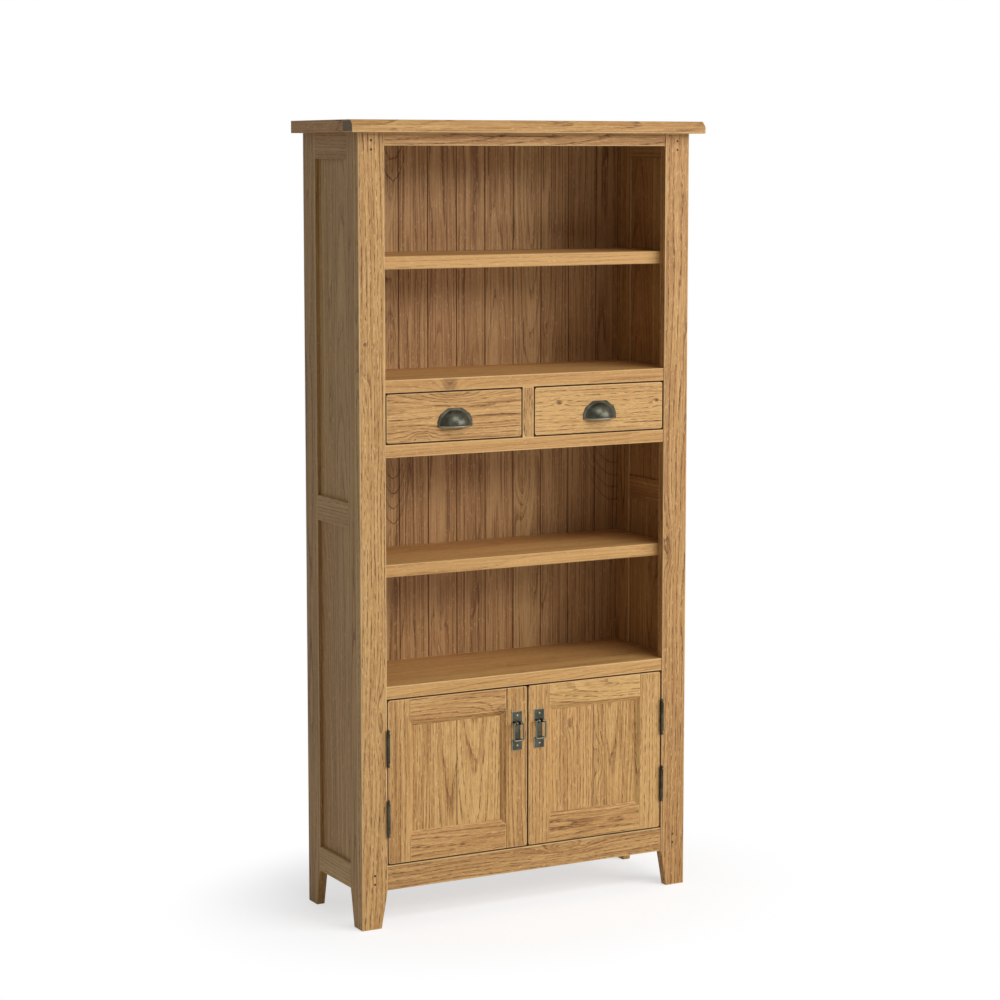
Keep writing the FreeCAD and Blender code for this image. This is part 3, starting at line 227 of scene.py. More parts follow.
# Which way the grain runs where it isn't the node's longest side: along, across and through the boards.
GRAIN = dict.fromkeys(("side_rails_left", "side_rails_right", "drawer_guides", "left_drawer_sides",
                       "right_drawer_sides", "frame_pegs"), "yzx")
GRAIN["top_end_strips"] = "yxz"
GRAIN["drawer_divider"] = "zyx"


class Planks(NamedTuple):
    """Boards side by side in one node: where a joint lies, how wide each is and how dark the joints are."""
    start: float
    width: float
    joint: float = 0.0


def even_planks(node, count, joint):
    """Planks that share the width of the node's box."""
    low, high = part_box(node)
    return Planks(low.x, (high.x - low.x) / count, joint)


PLANKS = {
    "back_boards": even_planks("back_boards", 11, 1.0),
    "top_panel": Planks(-0.128, 0.1, 0.5),
    "top_end_strips": Planks(-0.5, 0.5),
    "left_door_panel": Planks(-0.3145, 0.126, 1.0),
    "right_door_panel": Planks(0.0628, 0.126, 1.0),
    "lower_shelf": Planks(-0.140, 0.09, 0.3),
    "upper_shelf": Planks(-0.150, 0.09, 0.3),
    "cupboard_top_board": Planks(-0.150, 0.098, 0.3),
    "drawer_bottom_board": Planks(-0.160, 0.098, 0.3),
    "drawer_top_board": Planks(-0.155, 0.098, 0.3),
    "cupboard_floor": Planks(-0.130, 0.0915, 0.3),
}
for side_name in SIDES:
    PLANKS[f"side_rails_{side_name}"] = Planks(-0.3, 0.6)
    PLANKS[f"side_panel_upper_{side_name}"] = Planks(-0.094, 0.095, 0.4)
    PLANKS[f"side_panel_lower_{side_name}"] = Planks(-0.094, 0.095, 0.4)


class Knot(NamedTuple):
    """Where rings bulge: its place across and along, its half sizes, rings pushed aside and darkness."""
    across: float
    along: float
    width: float
    length: float
    rings: float
    dark: float = 0.0


class Crack(NamedTuple):
    """A thin dark line with the grain: its place across, and where it starts and ends along."""
    across: float
    start: float
    end: float


class Arcs(NamedTuple):
    """Dark nested arcs that open upward: their middle, lowest tip, half width, how many and how dark.

    Each is a parabola that rises by rise in a half width, and the next one lies as much higher.
    """
    across: float
    tip: float
    width: float
    rise: float
    count: float
    dark: float


KNOTS = {
    "back_boards": (Knot(-0.213, 1.90, 0.020, 0.24, 7), Knot(-0.213, 1.19, 0.022, 0.30, 8),
                    Knot(0.150, 1.05, 0.030, 0.16, 8), Knot(-0.085, 0.72, 0.012, 0.10, 3, 0.3)),
    "left_door_top_rail": (Knot(0.492, -0.058, 0.020, 0.055, 5, 0.5),),
    "left_door_panel": (Knot(-0.330, 0.50, 0.045, 0.22, 6),),
    "left_drawer_front": (Knot(1.165, -0.285, 0.016, 0.030, 3, 0.25), Knot(1.262, -0.20, 0.020, 0.10, 4)),
    "right_drawer_front": (Knot(1.229, 0.085, 0.009, 0.014, 2, 0.8),
                           Knot(1.223, 0.359, 0.007, 0.010, 2, 0.9)),
    "right_door_panel": (Knot(0.205, 0.34, 0.014, 0.05, 3, 0.2), Knot(0.120, 0.44, 0.008, 0.02, 2, 0.5)),
    "right_door_bottom_rail": (Knot(0.188, 0.25, 0.012, 0.05, 1, 0.15),),
    "drawer_top_board": (Knot(-0.14, -0.21, 0.012, 0.03, 3, 0.5),),
    "plinth_rail": (Knot(0.135, 0.10, 0.018, 0.09, 4),),
    "front_stile_left": (Knot(-0.436, 1.35, 0.015, 0.07, 3, 0.2), Knot(-0.400, 0.50, 0.016, 0.09, 3)),
    "front_stile_right": (Knot(0.395, 0.86, 0.014, 0.06, 3, 0.3),),
}

CRACKS = {
    "back_boards": (Crack(0.205, 1.72, 1.87), Crack(0.222, 1.62, 1.74), Crack(0.050, 1.76, 1.85),
                    Crack(0.122, 1.60, 1.67), Crack(-0.175, 1.34, 1.43), Crack(0.150, 1.32, 1.42),
                    Crack(-0.060, 0.88, 1.00), Crack(0.020, 0.62, 0.76)),
    "left_drawer_front": (Crack(1.206, -0.376, -0.325), Crack(1.208, -0.135, -0.018)),
    "right_drawer_front": (Crack(1.172, 0.26, 0.376),),
    "front_top_rail": (Crack(1.862, -0.16, 0.10),),
}

ARCS = {
    "back_boards": (Arcs(-0.213, 1.758, 0.030, 0.050, 2, 0.8), Arcs(-0.215, 0.920, 0.026, 0.037, 4, 0.8),
                    Arcs(0.415, 0.94, 0.050, 0.032, 4, 0.5)),
}


class Finish(NamedTuple):
    """How a group of boards differs: shade, tint, open pores, streaks' contrast and length, and rings."""
    shade: float
    tint: tuple
    pores: float
    contrast: float
    length: float
    rings: float


FINISH = {
    "oak_top": Finish(0.0, (1.0, 0.98, 0.95), 0.6, 0.8, 1.5, 0.3),
    "oak_frame": Finish(0.0, (1.0, 1.0, 1.0), 0.8, 1.0, 1.0, 0.35),
    "oak_side": Finish(0.05, (0.92, 0.97, 0.98), 0.45, 0.7, 1.5, 0.4),
    "oak_shelf": Finish(-0.1, (1.0, 0.96, 0.9), 0.3, 0.6, 1.6, 0.2),
    # The backs' finish is darker and greyer than the other boards': painted shade for the backs deep in the
    # bays.
    "oak_back": Finish(0.1, (0.90, 0.90, 0.97), 0.45, 1.3, 2.4, 0.4),
    "oak_inner": Finish(-0.2, (1.0, 1.03, 1.1), 0.4, 0.7, 1.5, 0.3),
    "oak_front": Finish(0.0, (1.07, 1.08, 1.05), 0.7, 1.1, 1.1, 0.4),
}

# Pieces that fill an opening: their outer edges lie deep in a narrow gap, where painted shade with a dusty
# tint darkens the wax.
GAP_PIECES = [[f"{side}_{part}" for part in parts] for side in SIDES for parts in (
    ("drawer_front",), ("door_hinge_stile", "door_lock_stile", "door_top_rail", "door_bottom_rail"))]
GAP_NODES = {node: group for group in GAP_PIECES for node in group}

# Nodes that hold several boards apart from one another, so their box's edges aren't their boards' edges.
LOOSE_NODES = ("back_boards", "side_rails_left", "side_rails_right", "drawer_guides", "left_drawer_sides",
               "right_drawer_sides", "frame_pegs", "top_end_strips")

# Oak: what all boards share

# Noise across, through and along a board. The lines are noise over the rings, through and along it.
OAK_NOISE = {
    "slow": Noise((9, 9, 1.5), 2, 0.55),
    "waver": Noise((60, 60, 7), 1, shift=3),
    "broad": Noise((24, 24, 1.4), 2, shift=7),
    "line": Noise((2.9, 3.0, 5.0), 2, 0.6, 11),
    "streak": Noise((290, 290, 5.5), 3, 0.6, 13),
    "dash": Noise((560, 560, 58), 1, shift=17),
    "pale": Noise((260, 260, 90), 1, shift=23),
    "drift": Noise((0, 0, 30), 2, shift=31),
    "arc": Noise((90, 90, 40), 3, shift=37),
}

# How far apart boards lie in the noise, across it by their tone and along it by their turn.
TONE_STEP = 3.7
TURN_STEP = 5.3

# The heart's least depth as a share of the setting, and the power by which a knot's bulge falls off.
HEART_LEAST_SHARE = 0.35
KNOT_FALL = -1.5

# What a board's shade is made of: where it starts, and how much each layer adds to it or takes from it.
BASE_SHADE = 0.30
LINE_SHADE = 1.3
STREAK_SHADE = 2.1
BROAD_SHADE = 0.6
RING_SHADE = 0.3

# The values between which a step rises: middle and dark wood by the shade, pores and flecks by their noise.
MIDDLE_STEP = (-0.1, 0.6)
DARK_STEP = (0.35, 1.25)
PORE_STEP = (0.48, 0.6)
PALE_STEP = (0.60, 0.74)

# The share of a ring that is early wood, and how open the pores are in all wood and, added, in early wood.
EARLY_SHARE = 0.3125
LATE_PORES = 0.3
EARLY_PORES = 1.1

# How strongly flecks, end grain with its speckle, and the painted shade with a dusty tint in the gaps cover
# the wood.
PALE_STRENGTH = 0.5
END_STRENGTH = 0.6
END_SPECKLE = 0.5
PAINTED_SHADE_AND_DUST_STRENGTH = 0.9

# How fast a knot's core pales outwards, how far a crack wanders, and how fast its ends thin out.
KNOT_CORE = 1.5
CRACK_DRIFT = 6 * MILLIMETRE
CRACK_ENDS_PER_METRE = 60

# How far dark arcs waver, half their thickness, and how far the outer ones fade, in steps between arcs.
ARC_WAVER = 0.4
ARC_THIN = 0.09
ARC_FADE = 0.2

# Relief and gloss of waxed oak.
STREAK_HEIGHT = 0.3
EARLY_HEIGHT = 0.3
WAX_ROUGHNESS = 0.5
STREAK_ROUGHNESS = 0.12
PORE_ROUGHNESS = 0.15
SHADE_AND_DUST_ROUGHNESS = 0.4
OAK_RELIEF = Relief(0.4, 0.6 * MILLIMETRE)
OAK_SPECULAR = 0.3


def grain_axes(node):
    """Along, across and through the boards: the node's own sides from the longest to the shortest."""
    if node in GRAIN:
        return GRAIN[node]
    low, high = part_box(node)
    lengths = high - low
    return "".join(sorted("xyz", key=lambda axis: -getattr(lengths, axis)))


def edge_wear_and_highlight(node, place, width):
    """Wear with a painted highlight: 1 along the edges of the node's box, where two of its faces meet, and 0
    away from them.
    """
    low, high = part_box(node)
    near = [(1 - (value - start).least(end - value) / width).most(0.0)
            for value, start, end in zip(place, low, high)]
    return (near[0] * near[1] + near[1] * near[2] + near[2] * near[0]).least(1.0)


def inside_outline(nodes, place, corner):
    """How deep a point lies in the outline of the nodes' common box, as seen from the front.

    The outline's corners are round. The depth is negative outside it and at most the corners' radius.
    """
    boxes = [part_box(node) for node in nodes]
    short = []
    for value, axis in ((place[0], "x"), (place[2], "z")):
        low = min(getattr(box[0], axis) for box in boxes)
        high = max(getattr(box[1], axis) for box in boxes)
        short.append((corner - (value - low).least(high - value)).most(0.0))
    return corner - (short[0] * short[0] + short[1] * short[1]) ** 0.5


def gap_painted_shade_and_dust(node, place, settings):
    """Painted shade with a dusty tint: 1 a little behind the front on the outer edges of a piece that fills
    an opening, and in its corners.
    """
    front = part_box(node)[0].y
    depth = inside_outline(GAP_NODES[node], place, settings.shade_and_dust_corner)
    behind = (place[1].between(front + settings.shade_and_dust_start, front + settings.shade_and_dust_full)
              * (1 - place[1].between(front + settings.shade_and_dust_end / 2, front + settings.shade_and_dust_end)))
    edges = (1 - depth / settings.shade_and_dust_reach).most(0.0).least(1.0) * behind
    return edges.most((depth / settings.shade_and_dust_soft * -1).least(1.0))


class Log:
    """A board's place in the log that it was cut from."""

    def __init__(self, tree, node, settings):
        self.tree = tree
        self.node = node
        self.settings = settings
        self.seed = SEEDS[node]
        self.place = tree.object_place()
        axes = grain_axes(node)
        by_axis = dict(zip("xyz", self.place))
        self.along, self.across, self.through = (by_axis[axis] for axis in axes)
        self.low, self.high = ([getattr(corner, axis) for axis in axes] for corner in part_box(node))
        middle = [(start + end) / 2 for start, end in zip(self.low, self.high)]
        self.along_middle, across_middle, self.through_middle = middle
        if node in PLANKS:
            planks = PLANKS[node]
            number = ((self.across - planks.start) / planks.width).floor()
            self.turn, self.lean, self.tone = tree.random_parts(number + self.seed)
            self.width = planks.width
            self.offset = self.across - planks.start - (number + 0.5) * planks.width
        else:
            chance = random.Random(self.seed)
            self.turn, self.lean, self.tone = (chance.random() for part in range(3))
            self.width = self.high[1] - self.low[1]
            self.offset = self.across - across_middle
        self.grain_place = (self.across + self.tone * TONE_STEP, self.through,
                            self.along + self.turn * TURN_STEP)

    def noise(self, name, length=1.0):
        """A layer of noise in the board, drawn out along the grain by length."""
        return self.tree.noise(self.grain_place, OAK_NOISE[name], self.seed, length)

    def knot_share(self, knot):
        """The square of the distance from a knot's middle, in its half sizes."""
        u = (self.across - knot.across) / knot.width
        v = (self.along - knot.along) / knot.length
        return u * u + v * v

    def rings(self):
        """How many rings lie between the heart and each point."""
        settings = self.settings
        side_step = self.offset - (self.lean - 0.5) * (self.width * settings.heart_spread)
        tilt = (self.turn - 0.5) * settings.heart_tilt
        depth_step = (self.through - self.through_middle
                      + (HEART_LEAST_SHARE + self.lean) * settings.heart_depth
                      + (self.along - self.along_middle) * tilt)
        distance = (side_step * side_step + depth_step * depth_step) ** 0.5
        distance = distance + (self.noise("slow") - 0.5) * settings.ring_warp
        distance = distance + (self.noise("waver") - 0.5) * settings.ring_waver
        rings = distance / settings.ring_spacing
        for knot in KNOTS.get(self.node, ()):
            rings = rings + (self.knot_share(knot) + 1) ** KNOT_FALL * knot.rings
        return rings

    def knots(self):
        """The dark cores of knots."""
        total = 0.0
        for knot in KNOTS[self.node]:
            if knot.dark:
                total = (1 - self.knot_share(knot) * KNOT_CORE).most(0.0) * knot.dark + total
        return total

    def cracks(self):
        """1 on the thin cracks, which wander a little and thin out at their ends."""
        drift = (self.noise("drift") - 0.5) * CRACK_DRIFT
        total = 0.0
        for crack in CRACKS[self.node]:
            line = (1 - abs(self.across - crack.across + drift) / self.settings.crack_width).most(0.0)
            ends = (self.along - crack.start).least(crack.end - self.along) * CRACK_ENDS_PER_METRE
            total = line * ends.least(1.0).most(0.0) + total
        return total

    def arcs(self):
        """1 on the dark arcs: lines where the height over the tip less a parabola is a whole number."""
        waver = self.noise("arc") - 0.5
        total = 0.0
        for arcs in ARCS[self.node]:
            beside = (self.across - arcs.across) / arcs.width
            level = (self.along - arcs.tip) / arcs.rise - beside * beside + waver * ARC_WAVER
            part = (level + 0.5).fraction() - 0.5
            last = arcs.count - 0.5
            inside = level.between(-0.5, ARC_FADE - 0.5) * (1 - level.between(last - ARC_FADE, last))
            total = (1 - abs(part) / ARC_THIN).most(0.0) * inside * arcs.dark + total
        return total

    def joints(self):
        """How dark the joints between planks are: most on them, and 0 a little beside them."""
        planks = PLANKS[self.node]
        share = ((self.across - planks.start) / planks.width).fraction()
        beside = share.least(1 - share) * (planks.width / self.settings.joint_width)
        return (1 - beside).most(0.0) * planks.joint

    def dark_spots(self):
        """How much the knots, cracks, dark arcs and joints that the board has darken it."""
        total = 0.0
        for table, marks in ((KNOTS, self.knots), (CRACKS, self.cracks), (ARCS, self.arcs),
                             (PLANKS, self.joints)):
            if self.node in table:
                total = total + marks()
        return total

    def ends(self):
        """1 at both ends of the board and 0 a little way in from them."""
        near = (self.along - self.low[0]).least(self.high[0] - self.along)
        return (1 - near / self.settings.end_depth).most(0.0)


def wood_colour(log, shade, pores, settings):
    """Light to dark wood by its shade, warmer on some boards, with pale flecks, pores and dark spots."""
    tree = log.tree
    colour = tree.mix(shade.between(*MIDDLE_STEP), settings.light, settings.middle)
    colour = tree.mix(shade.between(*DARK_STEP), colour, settings.dark)
    colour = tree.mix(log.turn * settings.board_warmth, colour, settings.red)
    colour = tree.mix(log.noise("pale").between(*PALE_STEP) * PALE_STRENGTH, colour, settings.fleck)
    dark_spots = pores * settings.pore_strength + log.dark_spots()
    return tree.mix(dark_spots.least(1.0), colour, settings.pore)


def edge_colour(log, colour, dash, painted_shade_and_dust, settings):
    """The wood's colour with dark end grain, pale edges that are wear with a painted highlight, and painted
    shade with a dusty tint in the gaps.
    """
    tree = log.tree
    colour = tree.mix(log.ends() * (END_STRENGTH + dash * END_SPECKLE), colour, settings.end_grain)
    if log.node not in LOOSE_NODES:
        # Pale edges: wear with a painted highlight along the arrises.
        wear_and_highlight = edge_wear_and_highlight(log.node, log.place, settings.edge_width)
        colour = tree.mix(wear_and_highlight * settings.edge_strength, colour, settings.wear_and_highlight)
    # Painted shade with a dusty tint on the outer edges deep in the gap round a drawer or door.
    if log.node in GAP_NODES:
        colour = tree.mix(painted_shade_and_dust * PAINTED_SHADE_AND_DUST_STRENGTH, colour, settings.painted_shade_and_dust)
    return colour


def oak_material(node, slot, settings):
    """Oak whose rings are circles round the log's heart, which lies beside each board.

    The distance from the heart, with slow noise and the knots' bulges, is cut into rings. Each ring starts
    dark and open-pored and turns pale. Lines are noise over the rings, so they follow the rings' arcs.
    Streaks and pores are noise drawn out along the grain, and pores are short dashes in it.
    """
    material = bpy.data.materials.new(f"{slot}_{node}")
    tree = Tree(material)
    log = Log(tree, node, settings)
    finish = FINISH[slot]
    rings = log.rings()
    early = (1 - rings.fraction() / EARLY_SHARE).most(0.0)
    ring_tone = tree.random_parts(rings.floor() + log.seed)[0]
    line = tree.noise((rings, log.through, log.along), OAK_NOISE["line"], log.seed, finish.length)
    streak = log.noise("streak", finish.length)
    dash = log.noise("dash", finish.length)
    pores = dash.between(*PORE_STEP) * (LATE_PORES + early * EARLY_PORES) * finish.pores
    shade = (((line - 0.5) * LINE_SHADE + (streak - 0.5) * STREAK_SHADE) * finish.contrast
             + (log.noise("broad") - 0.5) * BROAD_SHADE + (ring_tone - 0.5) * RING_SHADE
             + early * finish.rings + (log.tone - 0.5) * settings.board_contrast
             + (BASE_SHADE + finish.shade))
    # Painted shade with a dusty tint in the gaps round drawers and doors; it also roughens the wax.
    painted_shade_and_dust = gap_painted_shade_and_dust(node, log.place, settings) if node in GAP_NODES else 0.0
    colour = edge_colour(log, wood_colour(log, shade, pores, settings), dash, painted_shade_and_dust, settings)
    tint = settings.peg_tint if node == "frame_pegs" else finish.tint
    colour = tree.mix(1.0, colour, tuple(tint), "MULTIPLY")
    height = streak * STREAK_HEIGHT - pores - early * EARLY_HEIGHT
    roughness = WAX_ROUGHNESS + streak * STREAK_ROUGHNESS + pores * PORE_ROUGHNESS + painted_shade_and_dust * SHADE_AND_DUST_ROUGHNESS
    tree.finish(colour, roughness, height, OAK_RELIEF, Specular_IOR_Level=OAK_SPECULAR)
    return material


# Metal and plastic

# Pewter: its noise in two sizes, where green patina and flecks start and end, and how much each piece is
# brightened by rubbing and a painted highlight.
PEWTER_CLOUD = Noise((45, 45, 45), 3)
PEWTER_FLECK = Noise((700, 700, 700), 3, 0.65, 5)
GREEN_STEP = (0.35, 0.65)
FLECK_STEP = (0.5, 0.75)
FLECK_RUBBED = 0.2
EDGE_RUBBED_AND_HIGHLIGHT = 0.8
RUBBED_AND_HIGHLIGHT = {"patina_pewter": 0.0, "rubbed_pewter": 0.6, "bail_pewter": 0.25}
PLATE_RUBBED = 0.05

# Relief and gloss of pewter.
PEWTER_ROUGHNESS = 0.26
CLOUD_ROUGHNESS = 0.1
FLECK_ROUGHNESS = 0.08
PEWTER_RELIEF = Relief(0.08, 0.2 * MILLIMETRE)
PEWTER_METALLIC = 0.9


class Plain(NamedTuple):
    """A plain finish: its colour, roughness and metalness, and the cells of its grain."""
    colour: tuple
    roughness: float
    metallic: float
    cells: tuple


PLAIN = {
    "steel": Plain(srgb(170, 170, 168), 0.35, 1.0, (900, 900, 60)),
    "catch_plastic": Plain(srgb(96, 62, 38), 0.5, 0.0, (500, 500, 500)),
}
PLAIN_STEP = (0.3, 0.7)
PLAIN_DARK = 0.8
PLAIN_ROUGHER = 0.1
PLAIN_RELIEF = Relief(0.15, 0.2 * MILLIMETRE)


def pewter_material(name, settings, rubbed_and_highlight, node=None):
    """Dark patina, brightened by rubbing with a painted highlight where hands wear it and, where a node is
    given, round its outline.
    """
    material = bpy.data.materials.new(name)
    tree = Tree(material)
    place = tree.object_place()
    cloud = tree.noise(place, PEWTER_CLOUD)
    fleck = tree.noise(place, PEWTER_FLECK)
    colour = tree.mix(cloud.between(*GREEN_STEP), settings.dark_pewter, settings.green_pewter)
    wear_and_highlight = fleck.between(*FLECK_STEP) * FLECK_RUBBED + rubbed_and_highlight
    if node:
        edge = 1 - inside_outline([node], place, settings.rubbed_and_highlight_rim) / settings.rubbed_and_highlight_rim
        wear_and_highlight = wear_and_highlight + edge * EDGE_RUBBED_AND_HIGHLIGHT
    colour = tree.mix(wear_and_highlight.least(1.0), colour, settings.wear_and_highlight_pewter)
    roughness = PEWTER_ROUGHNESS + cloud * CLOUD_ROUGHNESS + fleck * FLECK_ROUGHNESS
    tree.finish(colour, roughness, fleck, PEWTER_RELIEF, Metallic=PEWTER_METALLIC)
    return material


def shared_pewter(name, settings):
    """The pewter of this name, made once for all the pieces that have it. No slot has such a name."""
    return bpy.data.materials.get(name) or pewter_material(name, settings, RUBBED_AND_HIGHLIGHT[name])


def plain_material(name):
    """A plain finish with a fine grain: noise that darkens and roughens it a little."""
    finish = PLAIN[name]
    material = bpy.data.materials.new(name)
    tree = Tree(material)
    grain = tree.noise(tree.object_place(), Noise(finish.cells, 3, 0.6))
    darker = tuple(PLAIN_DARK * part for part in finish.colour)
    shade = tree.mix(grain.between(*PLAIN_STEP), darker, finish.colour)
    roughness = finish.roughness + grain * PLAIN_ROUGHER
    tree.finish(shade, roughness, grain, PLAIN_RELIEF, Metallic=finish.metallic)
    return material


def wear(obj, material):
    obj.data.materials.clear()
    obj.data.materials.append(material)


# Surfaces

MERGE_DISTANCE = 1e-6
SHORTEST_EDGE = 1e-7
SHARP_ANGLE = math.radians(38)


def surface(name, grids, body, material, replaced=()):
    """One piece from grids of points: each grid's neighbours make its faces, and grids join where they meet.

    A grid has rows, columns and three coordinates. A row or column that shrinks to a point closes a pole.
    """
    points, faces, first = [], [], 0
    for grid in grids:
        rows, columns = grid.shape[:2]
        index = np.arange(rows * columns).reshape(rows, columns) + first
        quads = np.stack([index[:-1, :-1], index[:-1, 1:], index[1:, 1:], index[1:, :-1]], axis=-1)
        points.append(grid.reshape(-1, 3))
        faces.append(quads.reshape(-1, 4))
        first += rows * columns
    mesh = bpy.data.meshes.new(name)
    mesh.from_pydata(np.concatenate(points).tolist(), [], np.concatenate(faces).tolist())
    work = bmesh.new()
    work.from_mesh(mesh)
    bmesh.ops.remove_doubles(work, verts=work.verts, dist=MERGE_DISTANCE)
    bmesh.ops.dissolve_degenerate(work, edges=work.edges, dist=SHORTEST_EDGE)
    bmesh.ops.recalc_face_normals(work, faces=work.faces)
    work.to_mesh(mesh)
    work.free()
    mesh.shade_smooth()
    mesh.set_sharp_from_angle(angle=SHARP_ANGLE)
    piece = bpy.data.objects.new(name, mesh)
    bpy.context.scene.collection.objects.link(piece)
    wear(piece, material)
    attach(piece, body)
    if replaced:
        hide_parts(*replaced)


def turned(profile, axis, sides=24):
    """A profile of radius and height turned round the axis through the origin."""
    radius, height = np.asarray(profile, float).T
    angle = np.linspace(0, math.tau, sides + 1)
    ring = np.stack([np.outer(radius, np.cos(angle)), np.outer(radius, np.sin(angle)),
                     np.repeat(height[:, None], sides + 1, axis=1)], axis=-1)
    order = {"y": (0, 2, 1), "z": (0, 1, 2)}[axis]
    return ring[..., order]


def bar_along(path, radius, normal, sides=16):
    """A round bar: at each point of a flat path, a circle across the path's direction."""
    path = np.asarray(path, float)
    direction = np.gradient(path, axis=0)
    direction /= np.linalg.norm(direction, axis=1, keepdims=True)
    normal = np.broadcast_to(np.asarray(normal, float), path.shape)
    across = np.cross(direction, normal)
    angle = np.linspace(0, math.tau, sides + 1)
    circle = np.cos(angle)[None, :, None] * normal[:, None] + np.sin(angle)[None, :, None] * across[:, None]
    return path[:, None] + circle * radius


def with_ends(grid):
    """The grid with a row added at each end that shrinks to the middle of the row beside it."""
    first, last = (np.broadcast_to(row.mean(axis=0), row.shape)[None] for row in (grid[0], grid[-1]))
    return np.concatenate([first, grid, last])


def dome(radius, rise, steps=7):
    """The profile of a low round head: a quarter of an ellipse from its rim to its top."""
    angle = np.linspace(0, math.pi / 2, steps)
    return np.stack([radius * np.cos(angle), rise * np.sin(angle)], axis=-1)


# Fittings

# The right half of a pull's rim, from its lower corner to its flat top, in half widths and in heights.
RIM_CORNER_SHARES = ((1.0, 0.0), (1.0, 0.30), (0.86, 0.66), (0.40, 1.0))
SHELL_ROWS = 25
SHELL_COLUMNS = 49
LIP_SIDES = 12

# Where a hinge pin's ball ends at its neck: the angle above its middle, in radians.
BALL_END = 1.1
BALL_STEPS = 14
PIN_SIDES = 20


def pull_shell(low, high, face, settings, thickness):
    """The plan's arc turned up about a level axis, from the open underside to the drawer's face.

    The arc runs through the shell's two ends on the face and its foremost point. The axis lies so far
    behind the face that this point meets it at the shell's top. Thickness draws the inner wall's arc in.
    """
    half = (high.x - low.x) / 2 - settings.pull_rim
    height = high.z - low.z - settings.pull_rim
    reach = face - low.y
    plan_radius = (half ** 2 + reach ** 2) / (2 * reach)
    axis_back = (height ** 2 - reach ** 2) / (2 * reach)
    radius = plan_radius - thickness
    end = math.acos((plan_radius - reach) / radius)
    swing = np.linspace(-end, end, SHELL_COLUMNS)
    arm = radius * np.cos(swing) - (plan_radius - reach) + axis_back
    turn = np.linspace(0, 1, SHELL_ROWS)[:, None] * np.arccos(np.clip(axis_back / arm, -1, 1))
    return np.stack([np.broadcast_to(radius * np.sin(swing), turn.shape) + (low.x + high.x) / 2,
                     face + axis_back - arm * np.cos(turn), low.z + arm * np.sin(turn)], axis=-1)


def pull_lip(edge, settings):
    """A round bar along the shell's lower edge."""
    path = edge + (0, settings.pull_wall / 2, settings.lip_radius)
    return with_ends(bar_along(path, settings.lip_radius, (0, 0, 1), LIP_SIDES))


def pull_flange(low, high, face, settings):
    """A flat plate on the face: its cornered outline carried forward, drawn in at the front by the bevel."""
    half = (high.x - low.x) / 2
    foot = np.array([(low.x + high.x) / 2, face, low.z])
    shares = [(-x, z) for x, z in RIM_CORNER_SHARES] + [(x, z) for x, z in reversed(RIM_CORNER_SHARES)]
    across, up = np.array(shares).T
    outline = np.stack([across * half, np.zeros(len(across)), up * (high.z - low.z)], axis=-1) + foot
    bevelled = outline + (foot - outline) * (settings.rim_ease / half)
    centre = np.broadcast_to(foot, outline.shape)
    rows = [centre, outline, outline - (0, settings.rim_thick - settings.rim_ease, 0),
            bevelled - (0, settings.rim_thick, 0), centre - (0, settings.rim_thick, 0)]
    return with_ends(np.stack(rows).swapaxes(0, 1)).swapaxes(0, 1)


def bail_path(half, drop, corner, ear, steps=7):
    """Across and up from the pivot: out from one ear, round four bends and back to the other ear."""
    reach = half - corner
    points = [(ear, 0.0)]
    for across, down, quarter in ((reach, corner, 1), (reach, drop - corner, 0), (-reach, drop - corner, -1),
                                  (-reach, corner, -2)):
        angles = math.pi / 2 * (quarter - np.linspace(0, 1, steps))
        points += list(zip(across + corner * np.cos(angles), corner * np.sin(angles) - down))
    return np.array(points + [(-ear, 0.0)])


def bail_bar(low, high, settings):
    """A round bar along its bent path in the bail's box, with its ends inside the ears."""
    radius = (high.y - low.y) / 2
    pivot = (low.x + high.x) / 2, low.y + radius, high.z - radius
    across, up = bail_path((high.x - low.x) / 2 - radius, pivot[2] - low.z - radius, settings.bail_corner,
                           settings.ear_inner).T
    path = np.stack([across, np.zeros(len(across)), up], axis=-1) + pivot
    return with_ends(bar_along(path, radius, (0, 1, 0)))


def nail_head(settings):
    """A quarter ellipse turned round, with its flat side on the plate and its top to the front."""
    profile = np.concatenate([[(0, 0)], dome(settings.nail_radius, settings.nail_rise)])
    return turned(profile, "y") * (1, -1, 1)


def pin_profile(settings):
    """Radius and height of a ball, a short neck, a straight shaft, a neck and a ball again."""
    ball, neck, shaft = settings.hinge_ball, settings.hinge_neck, settings.hinge_shaft
    angle = np.linspace(-math.pi / 2, BALL_END, BALL_STEPS)
    lower = np.stack([ball * np.cos(angle), ball + ball * np.sin(angle)], axis=-1)
    lower[0, 0] = 0
    lower = np.concatenate([lower, [(shaft, 2 * ball), (shaft, 2 * ball + neck)]])
    upper = np.stack([lower[::-1, 0], settings.hinge_pin - lower[::-1, 1]], axis=-1)
    return np.concatenate([lower, upper])


# Settings

def tone_setting(name, description, value):
    return bpy.props.FloatVectorProperty(name=name, description=description, default=value, subtype="COLOR",
                                         size=3, min=0, max=1)


def length_setting(name, description, millimetres):
    return bpy.props.FloatProperty(name=name, description=description, default=millimetres * MILLIMETRE,
                                   subtype="DISTANCE", unit="LENGTH")


def share_setting(name, description, value, limit=1.0):
    return bpy.props.FloatProperty(name=name, description=description, default=value, min=0, max=limit)


def power_setting(name, description, watts):
    return bpy.props.FloatProperty(name=name, description=description, default=watts, subtype="POWER",
                                   unit="POWER", min=0)


